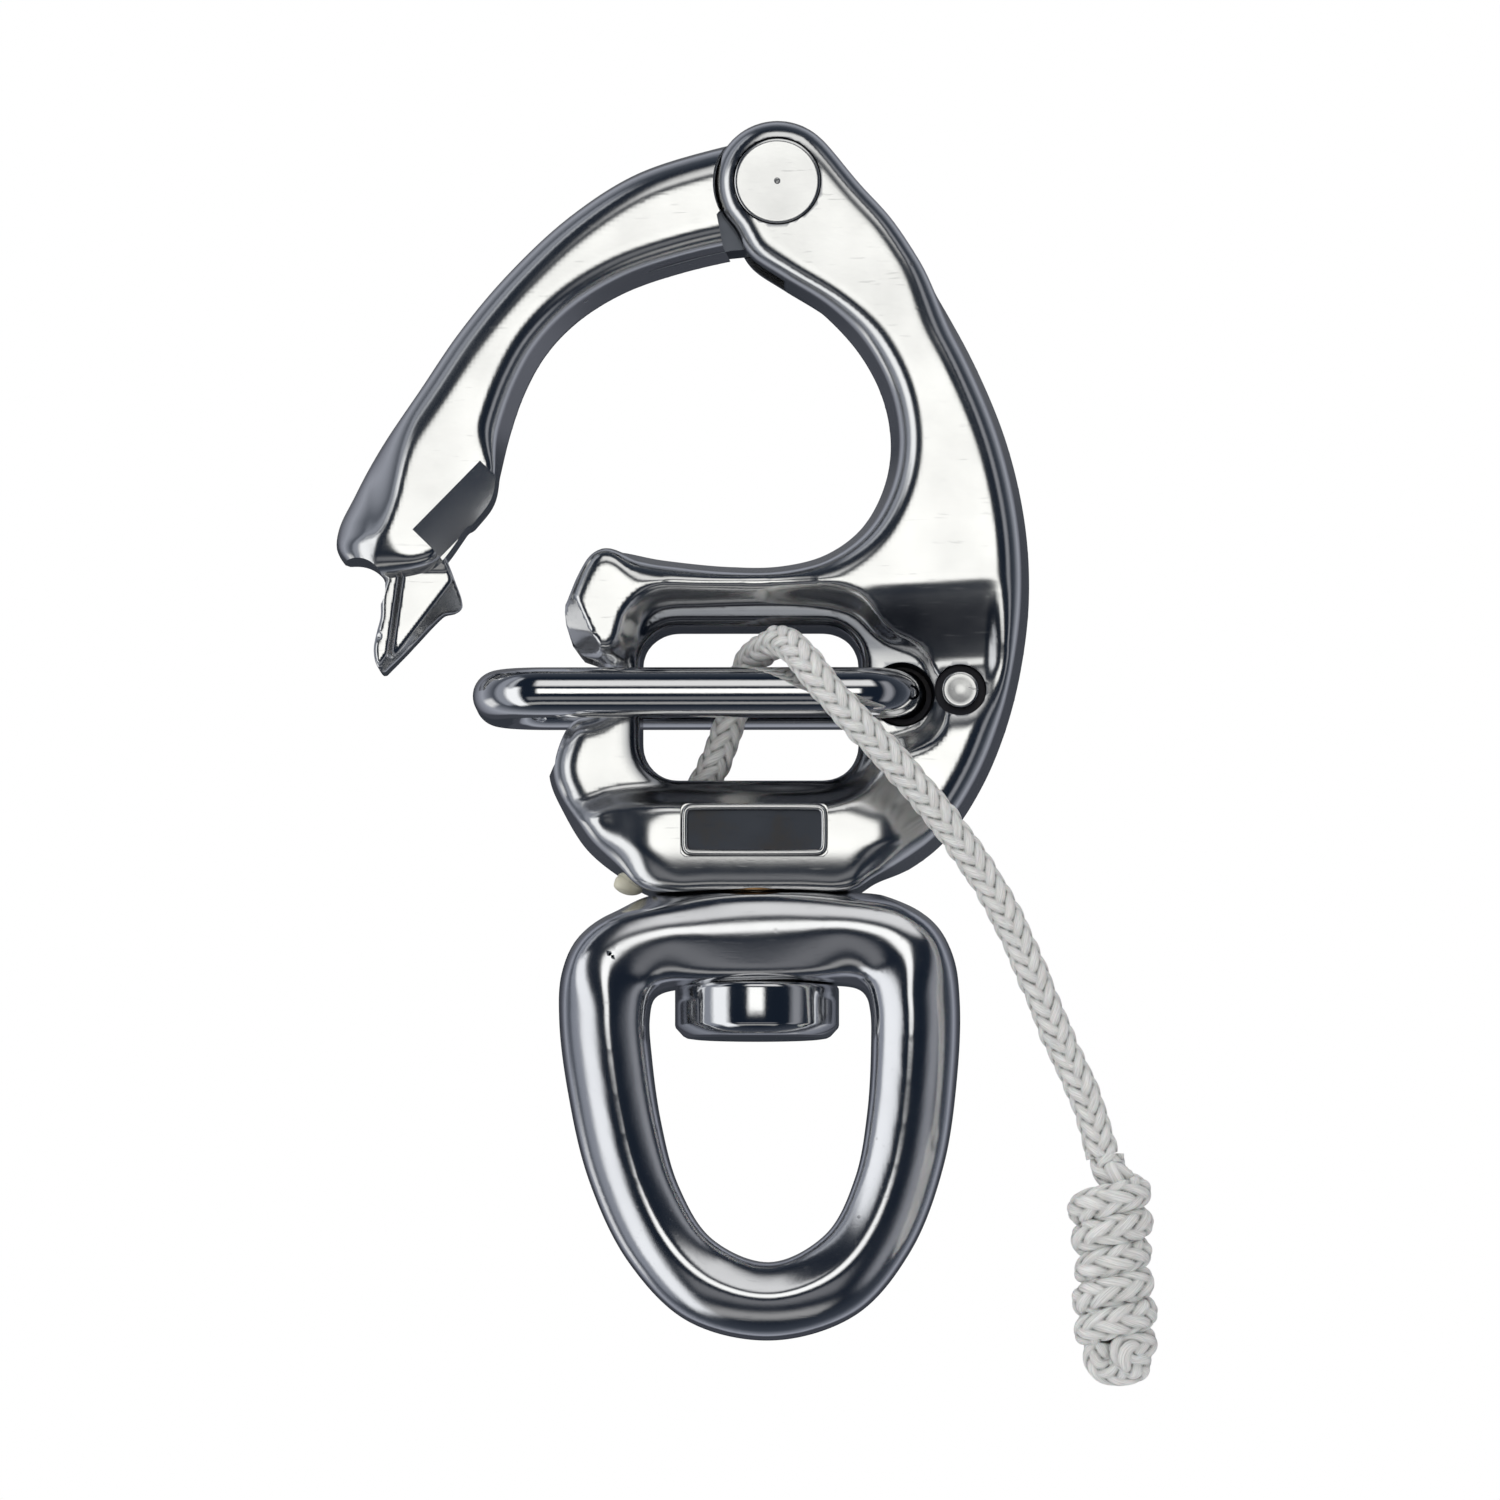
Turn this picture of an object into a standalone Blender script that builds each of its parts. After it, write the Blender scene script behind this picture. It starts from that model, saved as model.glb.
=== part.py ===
"""Snap shackle with a hinged bail arm, a sprung locking ring, a swivel eye and a release lanyard.

World frame in metres: +Z runs from the swivel eye up to the bail, the flat of the shackle lies in XZ,
and the front faces -Y. Z = 0 is where a load bears on the inside of the eye, and X = 0 is the swivel axis.
The arm stands open. Dimensions below are millimetres unless a name ends in DEG.
"""

import math

import bmesh
import bpy
from mathutils import Matrix, Vector

MM = 0.001

# Arm pivot: a riveted pin through the forked head of the body.
PIVOT = (1.55, 79.6)
PIN_RADIUS = 3.2
HEAD_RADIUS = 4.65
ARM_CLOSED_DEG = -17.6

# Half thicknesses across the shackle (along Y).
BODY_HALF = 5.5
PAD_HALF = 6.2
RECESS_HALF = 3.95
ARM_HALF = 4.9
TONGUE_HALF = 2.5
FORK_SLOT_HALF = 2.75

# Locking ring: a loop of round wire that turns in a hole across the body.
RING_PIVOT = (10.7, 41.7)
RING_LEFT = -19.1
RING_WIRE = 1.85
RING_HALF_GAP = 6.1
RING_CORNER = 3.5
RING_HOLE = 2.15

# Spring pin and its torsion spring, in a pocket inside the body.
SPRING_PIN = (15.0, 42.0)
SPRING_PIN_RADIUS = 1.35
SPRING_WIRE = 0.3
SPRING_COIL = 2.0
SPRING_TURNS = 4
SPRING_PITCH = 0.7

# Swivel: stud, washer and eye on the Z axis.
BODY_FOOT = 27.6
STUD_HEAD = (6.0, 16.6, 20.15)
STUD_SHANK = 3.8
STUD_TENON = (3.3, 31.5)
WASHER = (4.1, 5.4, 27.25, 27.95)
EYE_TILT_DEG = 2.4
EYE_TILT_CENTRE = 23.0

# Lanyard: braided rope, the hole that it leaves the body by, and its stopper knot.
ROPE_RADIUS = 1.35
ROPE_HOLE = 1.75
ROPE_BORE = ((-10.6, 0.0, 25.8), (-3.2, 0.0, 36.4))
KNOT_TOP, KNOT_LOW = (25.7, -7.5, 6.9), (26.4, -7.5, -8.6)
KNOT_RADIUS = 3.35
KNOT_WRAPS = 5
KNOT_PITCH = 2.55

# The edge where the arm's face breaks into its locating wedge, and how far the wedge runs inwards.
ARM_STEP = ((-25.2, 54.0), (-21.0, 58.3))
WEDGE_RUN = 2.7
NOTCH_REACH = 3.3

# Clearances: a sliding fit, a plain gap between pieces, and the room round the arm's nose.
FIT_GAP = 0.05
TOUCH_GAP = 0.3
NOSE_GAP = 0.45

# Shaping: the rounding of forged rims, how far cutters reach past a face, and the outline's point spacing.
RIM_ROUND = 1.2
OUTSIDE = 9.0
SPACING = 1.7

# The nose that the ring holds, drawn with the arm open.
NOSE_LOOP = [
    (-26.6, 52.4), (-27.3, 50.6), (-27.75, 49.0), (-27.8, 47.6), (-28.1, 46.4), (-28.3, 45.2), (-28.1, 44.1),
    (-27.6, 43.5), (-27.0, 44.0), (-25.6, 45.4), (-24.1, 47.0), (-23.1, 47.9), (-22.4, 48.0), (-21.85, 48.4),
    (-21.9, 49.1), (-22.4, 50.5), (-22.9, 51.8), (-23.6, 53.2),
]

# The lanyard's route: up through the body, behind the ring's front run, over it, and down to the knot.
ROPE_ROUTE = [
    (-8.6, 0.0, 28.7), (-7.6, 0.0, 30.1), (-6.0, 0.0, 32.4), (-4.45, 0.0, 34.6), (-3.2, 0.0, 36.7),
    (-2.4, 0.0, 38.8), (-1.7, -0.2, 41.0), (-1.0, -1.0, 43.2), (-0.2, -2.6, 44.6), (0.8, -4.6, 45.1),
    (1.6, -6.1, 45.45), (2.4, -7.6, 45.1), (3.5, -9.2, 43.9), (5.0, -10.1, 41.9), (7.4, -10.3, 39.2),
    (10.6, -10.0, 35.8), (14.4, -9.4, 31.2), (17.6, -8.7, 26.4),
    (19.9, -8.2, 21.6), (22.1, -7.8, 16.2), (24.2, -7.6, 11.5), (25.3, -7.5, 7.6),
]


def clear_scene():
    for obj in list(bpy.data.objects):
        bpy.data.objects.remove(obj, do_unlink=True)


def make_collection(name):
    collection = bpy.data.collections.new(name)
    bpy.context.scene.collection.children.link(collection)
    return collection


clear_scene()
PARTS = make_collection("snap_shackle")
CUTTERS = make_collection("cutters")


def material(name, color, roughness, metallic):
    made = bpy.data.materials.new(name)
    made.use_nodes = True
    shader = made.node_tree.nodes["Principled BSDF"]
    shader.inputs["Base Color"].default_value = (*color, 1.0)
    shader.inputs["Roughness"].default_value = roughness
    shader.inputs["Metallic"].default_value = metallic
    return made


FORGED = material("forged_stainless", (0.62, 0.63, 0.65), 0.24, 1.0)
RING_STEEL = material("polished_ring", (0.7, 0.71, 0.73), 0.12, 1.0)
EYE_STEEL = material("polished_eye", (0.62, 0.63, 0.65), 0.2, 1.0)
PIN_STEEL = material("pin_steel", (0.66, 0.66, 0.66), 0.3, 1.0)
SPRING_STEEL = material("spring_steel", (0.45, 0.45, 0.46), 0.35, 1.0)
WASHER_BRONZE = material("washer_bronze", (0.45, 0.3, 0.16), 0.45, 1.0)
BRAID = material("white_braid", (0.83, 0.83, 0.81), 0.85, 0.0)
SEALED_BRAID = material("sealed_braid", (0.8, 0.77, 0.62), 0.6, 0.0)


def new_object(name, mesh, look=None, collection=None):
    obj = bpy.data.objects.new(name, mesh)
    (collection or PARTS).objects.link(obj)
    if look:
        mesh.materials.clear()
        mesh.materials.append(look)
    return obj


def as_cutter(obj):
    obj.hide_render = True
    obj.display_type = "WIRE"
    for owner in list(obj.users_collection):
        owner.objects.unlink(obj)
    CUTTERS.objects.link(obj)
    return obj


def curve_to_mesh(curve_obj):
    """Replaces a curve object by a mesh of it in world space, with its caps welded."""
    bpy.context.view_layer.update()
    graph = bpy.context.evaluated_depsgraph_get()
    mesh = bpy.data.meshes.new_from_object(curve_obj.evaluated_get(graph))
    mesh.transform(curve_obj.matrix_world)
    name, owner = curve_obj.name, curve_obj.users_collection[0]
    bpy.data.objects.remove(curve_obj, do_unlink=True)
    shape = bmesh.new()
    shape.from_mesh(mesh)
    bmesh.ops.remove_doubles(shape, verts=shape.verts, dist=1e-6)
    bmesh.ops.recalc_face_normals(shape, faces=shape.faces)
    shape.to_mesh(mesh)
    shape.free()
    return new_object(name, mesh, collection=owner)


def spline_points(points, spacing, closed=True):
    """A centripetal Catmull-Rom curve through the points, with a point about every `spacing`."""
    pts = [Vector(p) for p in points]
    count = len(pts)
    made = []
    for i in range(count if closed else count - 1):
        if closed:
            four = [pts[(i + k) % count] for k in (-1, 0, 1, 2)]
        else:
            before = pts[i - 1] if i else 2 * pts[0] - pts[1]
            after = pts[i + 2] if i + 2 < count else 2 * pts[-1] - pts[-2]
            four = [before, pts[i], pts[i + 1], after]
        knots = [0.0]
        for a, b in zip(four, four[1:]):
            knots.append(knots[-1] + max((b - a).length, 1e-9) ** 0.5)
        steps = max(1, round((four[2] - four[1]).length / spacing))
        for k in range(steps):
            t = knots[1] + (knots[2] - knots[1]) * k / steps
            level = four
            for depth in (1, 2, 3):
                level = [
                    (level[j] * (knots[j + depth] - t) + level[j + 1] * (t - knots[j]))
                    / (knots[j + depth] - knots[j])
                    if depth < 3
                    else (level[0] * (knots[2] - t) + level[1] * (t - knots[1]))
                    / (knots[2] - knots[1])
                    for j in range(4 - depth)
                ]
            made.append(level[0])
    if not closed:
        made.append(pts[-1])
    return made


def arc(centre, radius, start_deg, end_deg, count):
    """Points on an arc, angles from +X towards +Z."""
    angles = [math.radians(start_deg + (end_deg - start_deg) * i / (count - 1)) for i in range(count)]
    return [(centre[0] + radius * math.cos(a), centre[1] + radius * math.sin(a)) for a in angles]


def turned(point, centre, degrees):
    """A point of the XZ plane turned about +Y by the right-hand rule (Z towards X)."""
    a = math.radians(degrees)
    x, z = point[0] - centre[0], point[1] - centre[1]
    return (centre[0] + x * math.cos(a) + z * math.sin(a), centre[1] - x * math.sin(a) + z * math.cos(a))


def plate(name, loops, half, rounding=0.0, middle=0.0):
    """A flat outline in XZ, `half` thick each way from Y = middle, with rounded rims."""
    data = bpy.data.curves.new(name, "CURVE")
    data.dimensions = "2D"
    data.fill_mode = "BOTH"
    data.extrude = (half - rounding) * MM
    if rounding:
        data.bevel_depth = rounding * MM
        data.bevel_resolution = 1
        data.offset = -rounding * MM
    for loop in loops:
        spline = data.splines.new("POLY")
        spline.points.add(len(loop) - 1)
        for point, (x, z) in zip(spline.points, loop):
            point.co = (x * MM, z * MM, 0, 1)
        spline.use_cyclic_u = True
    obj = bpy.data.objects.new(name, data)
    PARTS.objects.link(obj)
    obj.rotation_euler = (math.pi / 2, 0, 0)
    obj.location = (0, middle * MM, 0)
    return curve_to_mesh(obj)


def cylinder_between(name, start, end, radius, sides=32, end_radius=None):
    """A round bar between two points (millimetres), or a cone if end_radius is given."""
    a, b = Vector(start) * MM, Vector(end) * MM
    mesh = bpy.data.meshes.new(name)
    shape = bmesh.new()
    top = radius if end_radius is None else end_radius
    bmesh.ops.create_cone(
        shape, cap_ends=True, segments=sides, radius1=radius * MM, radius2=top * MM, depth=(b - a).length
    )
    turn = (b - a).to_track_quat("Z", "Y").to_matrix().to_4x4()
    bmesh.ops.transform(shape, matrix=Matrix.Translation((a + b) / 2) @ turn, verts=shape.verts)
    shape.to_mesh(mesh)
    shape.free()
    return new_object(name, mesh)


def box(name, low, high):
    mesh = bpy.data.meshes.new(name)
    shape = bmesh.new()
    bmesh.ops.create_cube(shape, size=1.0)
    low, high = Vector(low) * MM, Vector(high) * MM
    for vert in shape.verts:
        vert.co = Vector((low[i] + (vert.co[i] + 0.5) * (high[i] - low[i]) for i in range(3)))
    shape.to_mesh(mesh)
    shape.free()
    return new_object(name, mesh)


def boolean(target, other, operation):
    modifier = target.modifiers.new(f"{operation.lower()}_{other.name}", "BOOLEAN")
    modifier.operation = operation
    modifier.solver = "EXACT"
    modifier.object = as_cutter(other)


def cut(target, *cutters):
    for cutter in cutters:
        boolean(target, cutter, "DIFFERENCE")


def join(target, *others):
    for other in others:
        boolean(target, other, "UNION")


def both_sides(name, loop, inner):
    """Two flat cutters of one outline, from |Y| = inner outwards."""
    middle, half = (inner + OUTSIDE) / 2, (OUTSIDE - inner) / 2
    sides = (("front", -middle), ("back", middle))
    return [plate(f"{name}_{side}", [loop], half, 0.0, y) for side, y in sides]


def prism(name, start, end, profile, before, after):
    """A cutter along an edge of the XZ plane. Its profile is (distance to the right of the edge, Y)."""
    start, end = Vector(start), Vector(end)
    along = (end - start).normalized()
    inwards = Vector((along.y, -along.x))
    mesh = bpy.data.meshes.new(name)
    shape = bmesh.new()
    rings = []
    for base in (start - along * before, end + along * after):
        points = [Vector((base.x + inwards.x * n, y, base.y + inwards.y * n)) for n, y in profile]
        rings.append([shape.verts.new(p * MM) for p in points])
    shape.faces.new(rings[0])
    shape.faces.new(reversed(rings[1]))
    for i in range(len(profile)):
        k = (i + 1) % len(profile)
        shape.faces.new((rings[0][i], rings[1][i], rings[1][k], rings[0][k]))
    bmesh.ops.recalc_face_normals(shape, faces=shape.faces)
    shape.to_mesh(mesh)
    shape.free()
    return new_object(name, mesh)


def across(name, centre, radius, reach=OUTSIDE, sides=32):
    """A round cutter or pin along Y through a point of the XZ plane."""
    return cylinder_between(name, (centre[0], -reach, centre[1]), (centre[0], reach, centre[1]), radius, sides)


def taper_y(obj, factor):
    """Scales the thickness by a factor of height, in millimetres."""
    for vert in obj.data.vertices:
        vert.co.y *= factor(vert.co.z / MM)


def finish(obj, look, pivot=None):
    """Gives the part its material and smooth shading, and puts its origin on its joint."""
    obj.data.materials.clear()
    obj.data.materials.append(look)
    obj.data.shade_smooth()
    obj.data.set_sharp_from_angle(angle=math.radians(35))
    if pivot:
        offset = Vector(pivot) * MM
        obj.data.transform(Matrix.Translation(-offset))
        obj.location = offset
    return obj


def wire(name, points, radius, look, resolution=2, cyclic=False):
    data = bpy.data.curves.new(name, "CURVE")
    data.dimensions = "3D"
    data.bevel_depth = radius * MM
    data.bevel_resolution = resolution
    data.use_fill_caps = not cyclic
    spline = data.splines.new("POLY")
    spline.points.add(len(points) - 1)
    for point, place in zip(spline.points, points):
        point.co = (*(Vector(place) * MM), 1)
    spline.use_cyclic_u = cyclic
    obj = bpy.data.objects.new(name, data)
    PARTS.objects.link(obj)
    data.materials.append(look)
    return obj


def body_outline():
    head = arc(PIVOT, HEAD_RADIUS, 226, 44, 13)
    back = [(7.6, 79.6), (10.1, 76.8), (13.2, 71.9), (16.3, 66.2), (18.6, 60.4), (19.9, 54.4), (20.15, 49.0)]
    heel = [(19.6, 44.1), (18.5, 39.6), (16.7, 35.2), (14.2, 31.4), (11.4, 29.1), (8.6, 27.95)]
    foot = [(6.3, BODY_FOOT), (3.0, BODY_FOOT), (-3.0, BODY_FOOT), (-7.6, BODY_FOOT)]
    lower_jaw = [(-10.2, 28.5), (-12.6, 30.5), (-14.4, 33.4), (-15.3, 35.5), (-15.35, 37.1), (-14.4, 39.6)]
    mouth = [(-13.4, 40.5), (-12.0, 40.9), (-11.1, 41.9), (-11.1, 43.0), (-11.9, 43.9), (-13.0, 44.6)]
    upper_jaw = [(-14.3, 45.7), (-14.6, 47.1), (-13.9, 48.7), (-13.1, 50.6), (-12.1, 52.1), (-10.7, 52.6)]
    bail = [(-7.0, 52.0), (-2.0, 51.5), (1.8, 51.55), (5.1, 52.4), (7.7, 54.3), (9.3, 57.1), (9.9, 60.2)]
    inner = [(9.4, 63.7), (7.8, 67.0), (5.1, 70.1), (1.9, 72.5), (-0.5, 74.3)]
    jaws = lower_jaw + mouth + upper_jaw
    return spline_points(head + back + heel + foot + jaws + bail + inner, SPACING)


def slot_window():
    left, right, low, high = -8.4, 7.5, 35.6, 46.6
    corner = 2.6
    loop = arc((right - corner, high - corner), corner, 90, 0, 5)
    loop += arc((right - corner, low + corner), corner, 0, -90, 5)
    loop += arc((left + corner, low + corner), corner, -90, -180, 5)
    loop += arc((left + corner, high - corner), corner, 180, 90, 5)
    return loop


def jaw_notch():
    """The V-shaped and slotted space in the jaws that the arm's wedge and nose close into."""
    start, end = (turned(p, PIVOT, ARM_CLOSED_DEG) for p in ARM_STEP)
    wide, narrow = ARM_HALF + 0.35, TONGUE_HALF + TOUCH_GAP
    profile = [(-6.0, wide), (-0.2, wide), (WEDGE_RUN + 0.1, narrow), (NOTCH_REACH, narrow)]
    profile += [(n, -y) for n, y in reversed(profile)]
    return prism("jaw_notch", start, end, profile, 14.0, 6.0)


def nose_room():
    """The slot through both jaws that the arm's nose swings into, a little larger than the nose."""
    grown = [turned(p, PIVOT, ARM_CLOSED_DEG) for p in NOSE_LOOP]
    middle = Vector((sum(p[0] for p in grown), sum(p[1] for p in grown))) / len(grown)
    room = [tuple(Vector(p) + (Vector(p) - middle).normalized() * NOSE_GAP) for p in grown]
    return plate("nose_room", [room], TONGUE_HALF + TOUCH_GAP)


def ring_sweep():
    """Where the body is thinned so that the ring's two runs can swing down beside it."""
    upper = [(-20.0, 44.0), (-9.3, 44.0), (-8.4, 48.6), (7.2, 48.9), (9.2, 49.9), (17.2, 49.3), (17.9, 45.4)]
    lower = [(13.4, 43.9), (13.4, 38.7), (8.4, 37.4), (7.0, 34.2), (-10.6, 34.1), (-12.3, 33.3), (-20.0, 36.0)]
    return upper + lower


def fork_slot():
    px, pz = PIVOT
    mouth = [(-8.0, 9.0), (3.3, 6.0), (4.9, 1.4), (4.0, -3.0), (1.6, -6.8), (-3.0, -8.2), (-9.0, -8.0)]
    return plate("fork_slot", [[(px + x, pz + z) for x, z in mouth]], FORK_SLOT_HALF)


def make_body():
    body = plate("body", [body_outline(), slot_window()], BODY_HALF, RIM_ROUND)
    pad = [(-7.6, 34.2), (7.6, 34.2), (10.4, 33.0), (10.2, 29.9)]
    pad += [(7.4, 28.3), (-6.8, 28.3), (-9.4, 29.9), (-9.6, 32.6)]
    join(body, plate("pad", [spline_points(pad, SPACING)], PAD_HALF, 1.0))
    cut(body, *both_sides("ring_sweep", ring_sweep(), RECESS_HALF))
    cut(body, fork_slot(), across("pin_bore", PIVOT, PIN_RADIUS + FIT_GAP))
    cut(body, jaw_notch(), nose_room())
    cut(body, across("ring_bore", RING_PIVOT, RING_HOLE))
    for side in (-1, 1):
        mouth = (RING_PIVOT[0] - 0.15, side * (RECESS_HALF - 0.9), RING_PIVOT[1])
        rim = (RING_PIVOT[0] - 0.15, side * (RECESS_HALF + 0.3), RING_PIVOT[1])
        cut(body, cylinder_between(f"ring_mouth_{side}", mouth, rim, RING_HOLE, 32, RING_HOLE + 0.75))
        seat = (SPRING_PIN[0], side * (BODY_HALF - 1.1), SPRING_PIN[1])
        face = (SPRING_PIN[0], side * OUTSIDE, SPRING_PIN[1])
        cut(body, cylinder_between(f"pin_seat_{side}", seat, face, SPRING_PIN_RADIUS + 0.6, 24))
    cut(body, across("spring_pin_bore", SPRING_PIN, SPRING_PIN_RADIUS + FIT_GAP, sides=24))
    cut(body, box("spring_pocket", (RING_PIVOT[0], -2.0, 39.2), (17.8, 2.0, 44.9)))
    cut(body, cylinder_between("stud_bore", (0, 0, 26), (0, 0, STUD_TENON[1] + 0.4), STUD_TENON[0] + FIT_GAP))
    cut(body, cylinder_between("washer_seat", (0, 0, 26), (0, 0, WASHER[3] + 0.25), WASHER[1] + TOUCH_GAP))
    cut(body, cylinder_between("rope_bore", ROPE_BORE[0], ROPE_BORE[1], ROPE_HOLE, 20))
    cut(body, box("name_plate", (-5.6, -9.0, 29.6), (5.3, 0.45 - PAD_HALF, 33.6)))
    return finish(body, FORGED)


def arm_outline():
    outer = [(-0.2, 83.2), (-2.7, 82.7), (-9.0, 80.7), (-14.0, 77.5), (-18.5, 73.3), (-22.1, 69.0), (-25.0, 64.7)]
    toe = [(-27.8, 60.5), (-29.9, 56.7), (-31.0, 54.3), (-31.15, 52.8), (-30.4, 51.5), (-28.6, 50.2), (-26.0, 50.4)]
    heel = [(-23.6, 51.1), (-22.7, 52.0), (-21.3, 54.0), (-19.6, 56.2), (-19.1, 58.0)]
    inner = [(-18.3, 61.2), (-17.2, 64.4), (-15.6, 67.3), (-13.2, 69.8), (-9.8, 71.9), (-5.5, 73.4), (-0.6, 74.5)]
    return spline_points(outer + toe + heel + inner, SPACING)


def wedge_faces():
    """Cutters for the two sloping faces that leave the wedge, one each side."""
    run = [(0.0, ARM_HALF), (WEDGE_RUN, TONGUE_HALF), (OUTSIDE, TONGUE_HALF), (OUTSIDE, OUTSIDE), (0.0, OUTSIDE)]
    return [prism(f"wedge_{side}", *ARM_STEP, [(n, side * y) for n, y in run], 6.0, 0.9) for side in (-1, 1)]


def ring_groove():
    """The closed ring's left end, a little thicker, where it meets the arm's toe: drawn with the arm open."""
    end = [p for p in ring_path(8) if p[0] < RING_LEFT + RING_CORNER + 0.1]
    reach = RING_LEFT + 3 * RING_CORNER
    loop = [(reach, RING_HALF_GAP, RING_PIVOT[1])] + end + [(reach, -RING_HALF_GAP, RING_PIVOT[1])]
    swung = []
    for x, y, z in loop:
        x, z = turned((x, z), PIVOT, -ARM_CLOSED_DEG)
        swung.append((x, y, z))
    return curve_to_mesh(wire("ring_groove", swung, RING_WIRE + TOUCH_GAP, FORGED, 4))


def limb_room():
    """Outline of the body's limb as the closed arm's shoulder meets it, seen with the arm open."""
    limb = [turned(p, PIVOT, -ARM_CLOSED_DEG) for p in ((6.0, 68.6), (1.2, 72.3), (-1.1, 73.9), (-2.1, 75.7))]
    return limb + [(3.0, 84.0), (8.0, 78.0)]


def make_arm():
    arm = plate("bail_arm", [arm_outline()], ARM_HALF, RIM_ROUND)
    cut(arm, across("cheek_room", PIVOT, HEAD_RADIUS + 0.35, sides=48))
    cut(arm, plate("limb_room", [limb_room()], OUTSIDE))
    tongue = arc(PIVOT, HEAD_RADIUS - 0.15, 120, -75, 14)
    tongue += [(-0.2, 74.6), (-4.0, 74.2), (-9.0, 72.6), (-9.5, 80.0), (-4.0, 82.0)]
    join(arm, plate("tongue", [tongue], TONGUE_HALF - 0.05))
    cut(arm, *wedge_faces())
    join(arm, plate("nose", [spline_points(NOSE_LOOP, 0.9)], TONGUE_HALF - 0.1, 0.3))
    cut(arm, ring_groove())
    cut(arm, across("arm_bore", PIVOT, PIN_RADIUS + FIT_GAP))
    return finish(arm, FORGED, (PIVOT[0], 0, PIVOT[1]))


def make_pivot_pin():
    return finish(across("pivot_pin", PIVOT, PIN_RADIUS, BODY_HALF - FIT_GAP), PIN_STEEL)


def ring_path(steps=5):
    """The ring's centreline seen from above: two straight runs, a square-cornered left end and right end."""
    right, left, gap, corner = RING_PIVOT[0], RING_LEFT, RING_HALF_GAP, RING_CORNER
    path = []
    for cx, cy, start in (
        (right - corner, gap - corner, 0),
        (left + corner, gap - corner, 90),
        (left + corner, corner - gap, 180),
        (right - corner, corner - gap, 270),
    ):
        for step in range(steps + 1):
            a = math.radians(start + 90 * step / steps)
            path.append((cx + corner * math.cos(a), cy + corner * math.sin(a), RING_PIVOT[1]))
    return path


def make_ring():
    ring = curve_to_mesh(wire("locking_ring", ring_path(), RING_WIRE, RING_STEEL, 3, cyclic=True))
    x, z = RING_PIVOT
    cut(ring, cylinder_between("spring_hole", (x + 0.5, 0, z + 0.6), (x + 0.5, 0, z + 4), SPRING_WIRE + 0.2, 12))
    return finish(ring, RING_STEEL, (x, 0, z))


def make_spring():
    """A coil round the spring pin. One leg drops into the ring's cross bar, the other lies on the pocket's floor."""
    cx, cz = SPRING_PIN
    half = SPRING_TURNS * SPRING_PITCH / 2
    coil = []
    steps = SPRING_TURNS * 12
    for i in range(steps + 1):
        a = math.radians(90) + 2 * math.pi * SPRING_TURNS * i / steps
        y = half - 2 * half * i / steps
        coil.append((cx + SPRING_COIL * math.cos(a), y, cz + SPRING_COIL * math.sin(a)))
    tail = [(cx - 0.4, half, cz + SPRING_COIL), (cx - 1.9, half, cz + SPRING_COIL)]
    top = cz + SPRING_COIL
    rx, rz = RING_PIVOT
    hook = [(cx - 0.7, -half, top), (rx + 1.6, -0.5, top), (rx + 0.75, 0.0, top), (rx + 0.5, 0.0, top - 0.25)]
    hook += [(rx + 0.5, 0.0, rz + 0.95)]
    return wire("return_spring", tail[::-1] + coil + hook, SPRING_WIRE, SPRING_STEEL, 1)


def make_spring_pin():
    pin = across("spring_pin", SPRING_PIN, SPRING_PIN_RADIUS, BODY_HALF - 0.8, 24)
    return finish(pin, PIN_STEEL)


def turned_part(name, profile, look, steps=40):
    """A solid of revolution about Z. The profile runs down its outer side, in (radius, height)."""
    mesh = bpy.data.meshes.new(name)
    mesh.from_pydata(
        [(r * MM, 0, z * MM) for r, z in profile], [(i, i + 1) for i in range(len(profile) - 1)], []
    )
    obj = new_object(name, mesh, look)
    screw = obj.modifiers.new("turn", "SCREW")
    screw.steps = screw.render_steps = steps
    screw.use_merge_vertices = True
    screw.merge_threshold = 0.000001
    screw.use_smooth_shade = True
    return obj


def make_stud():
    radius, low, high = STUD_HEAD
    tenon, top = STUD_TENON
    profile = [(0, top), (tenon - 0.4, top), (tenon, top - 0.4), (tenon, 27.0), (STUD_SHANK, 27.0)]
    profile += [(STUD_SHANK, high), (radius - 0.3, high), (radius, high - 0.3), (radius, low + 0.8)]
    profile += [(radius - 0.8, low), (0, low)]
    return turned_part("swivel_stud", profile, PIN_STEEL)


def make_washer():
    bore, rim, low, high = WASHER
    profile = [(bore, high), (rim, high), (rim, low), (bore, low), (bore, high)]
    return turned_part("thrust_washer", profile, WASHER_BRONZE)


def mirrored(half):
    """A loop from its right half, listed from the top down."""
    return half + [(-x, z) for x, z in reversed(half) if abs(x) > 1e-6]


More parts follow.
